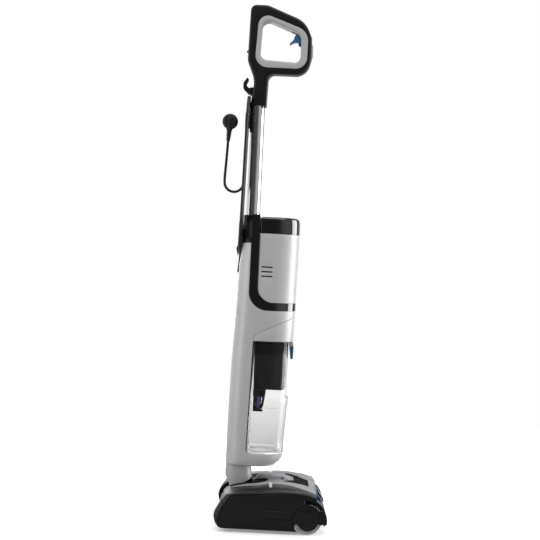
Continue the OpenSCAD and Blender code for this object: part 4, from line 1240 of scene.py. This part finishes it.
def softbox(name, place_at, towards, size, power):
    light = bpy.data.lights.new(name, "AREA")
    light.shape = "RECTANGLE"
    light.size, light.size_y = size
    light.energy = power
    obj = put(name, light)
    obj.location = place_at
    obj.rotation_euler = (Vector(towards) - Vector(place_at)).to_track_quat("-Z", "Y").to_euler()


# Brightness of the studio's walls round the object: azimuth in degrees, 0 towards the viewer
WALL_BANDS = [(-180, 0.80), (-120, 0.88), (-85, 0.80), (-62, 0.35), (-40, 0.08), (5, 0.06), (20, 0.15),
    (35, 0.5), (70, 0.6), (88, 0.15), (108, 0.1), (150, 0.35), (180, 0.80)]
# Brightness that each kind of ray sees in place of the walls; reflections see the walls themselves
RAY_LEVELS = (("Is Diffuse Ray", 0.62), ("Is Transmission Ray", 0.93), ("Is Camera Ray", 1.0))


def paint_world():
    world = bpy.data.worlds.new("studio")
    bpy.context.scene.world = world
    world.use_nodes = True
    tree = world.node_tree
    back = tree.nodes["Background"]
    where = new_node(tree, "TexCoord")
    parts = new_node(tree, "SeparateXYZ")
    tree.links.new(where.outputs["Generated"], parts.inputs["Vector"])
    turn = computed(tree, "ARCTAN2", parts.outputs["X"], computed(tree, "MULTIPLY", parts.outputs["Y"], -1.0))
    ramp = new_node(tree, "ValToRGB")
    ramp.color_ramp.interpolation = "B_SPLINE"
    for i, (azimuth, value) in enumerate(WALL_BANDS):
        position = (azimuth + 180) / 360
        stop = ramp.color_ramp.elements[i] if i < 2 else ramp.color_ramp.elements.new(position)
        stop.position = position
        stop.color = (value, value, value, 1)
    tree.links.new(spread(tree, turn, 0.0, 1.0, -pi, pi), ramp.inputs["Fac"])
    tree.links.new(ramp.outputs["Color"], back.inputs["Color"])
    rays = new_node(tree, "LightPath")
    shader = back.outputs[0]
    for ray, level in RAY_LEVELS:
        plain = new_node(tree, "Background")
        tune(plain, Color=(level, level, level, 1))
        pick = new_node(tree, "MixShader")
        tree.links.new(rays.outputs[ray], pick.inputs["Fac"])
        tree.links.new(shader, pick.inputs[1])
        tree.links.new(plain.outputs[0], pick.inputs[2])
        shader = pick.outputs[0]
    tree.links.new(shader, tree.nodes["World Output"].inputs["Surface"])


lay_floor()
softbox("right_strip", (2.13, 0.42, 0.75), (0, 0, 0.6), (1.3, 2.4), 62)
softbox("top_box", (0.1, -0.5, 2.6), (0, 0, 0.5), (1.8, 1.8), 20)
softbox("left_fill", (-1.9, -1.2, 0.7), (0, 0, 0.5), (0.9, 2.0), 13)
softbox("rear_fill", (-0.8, 2.2, 1.2), (0, 0, 0.6), (1.6, 2.0), 18)
paint_world()
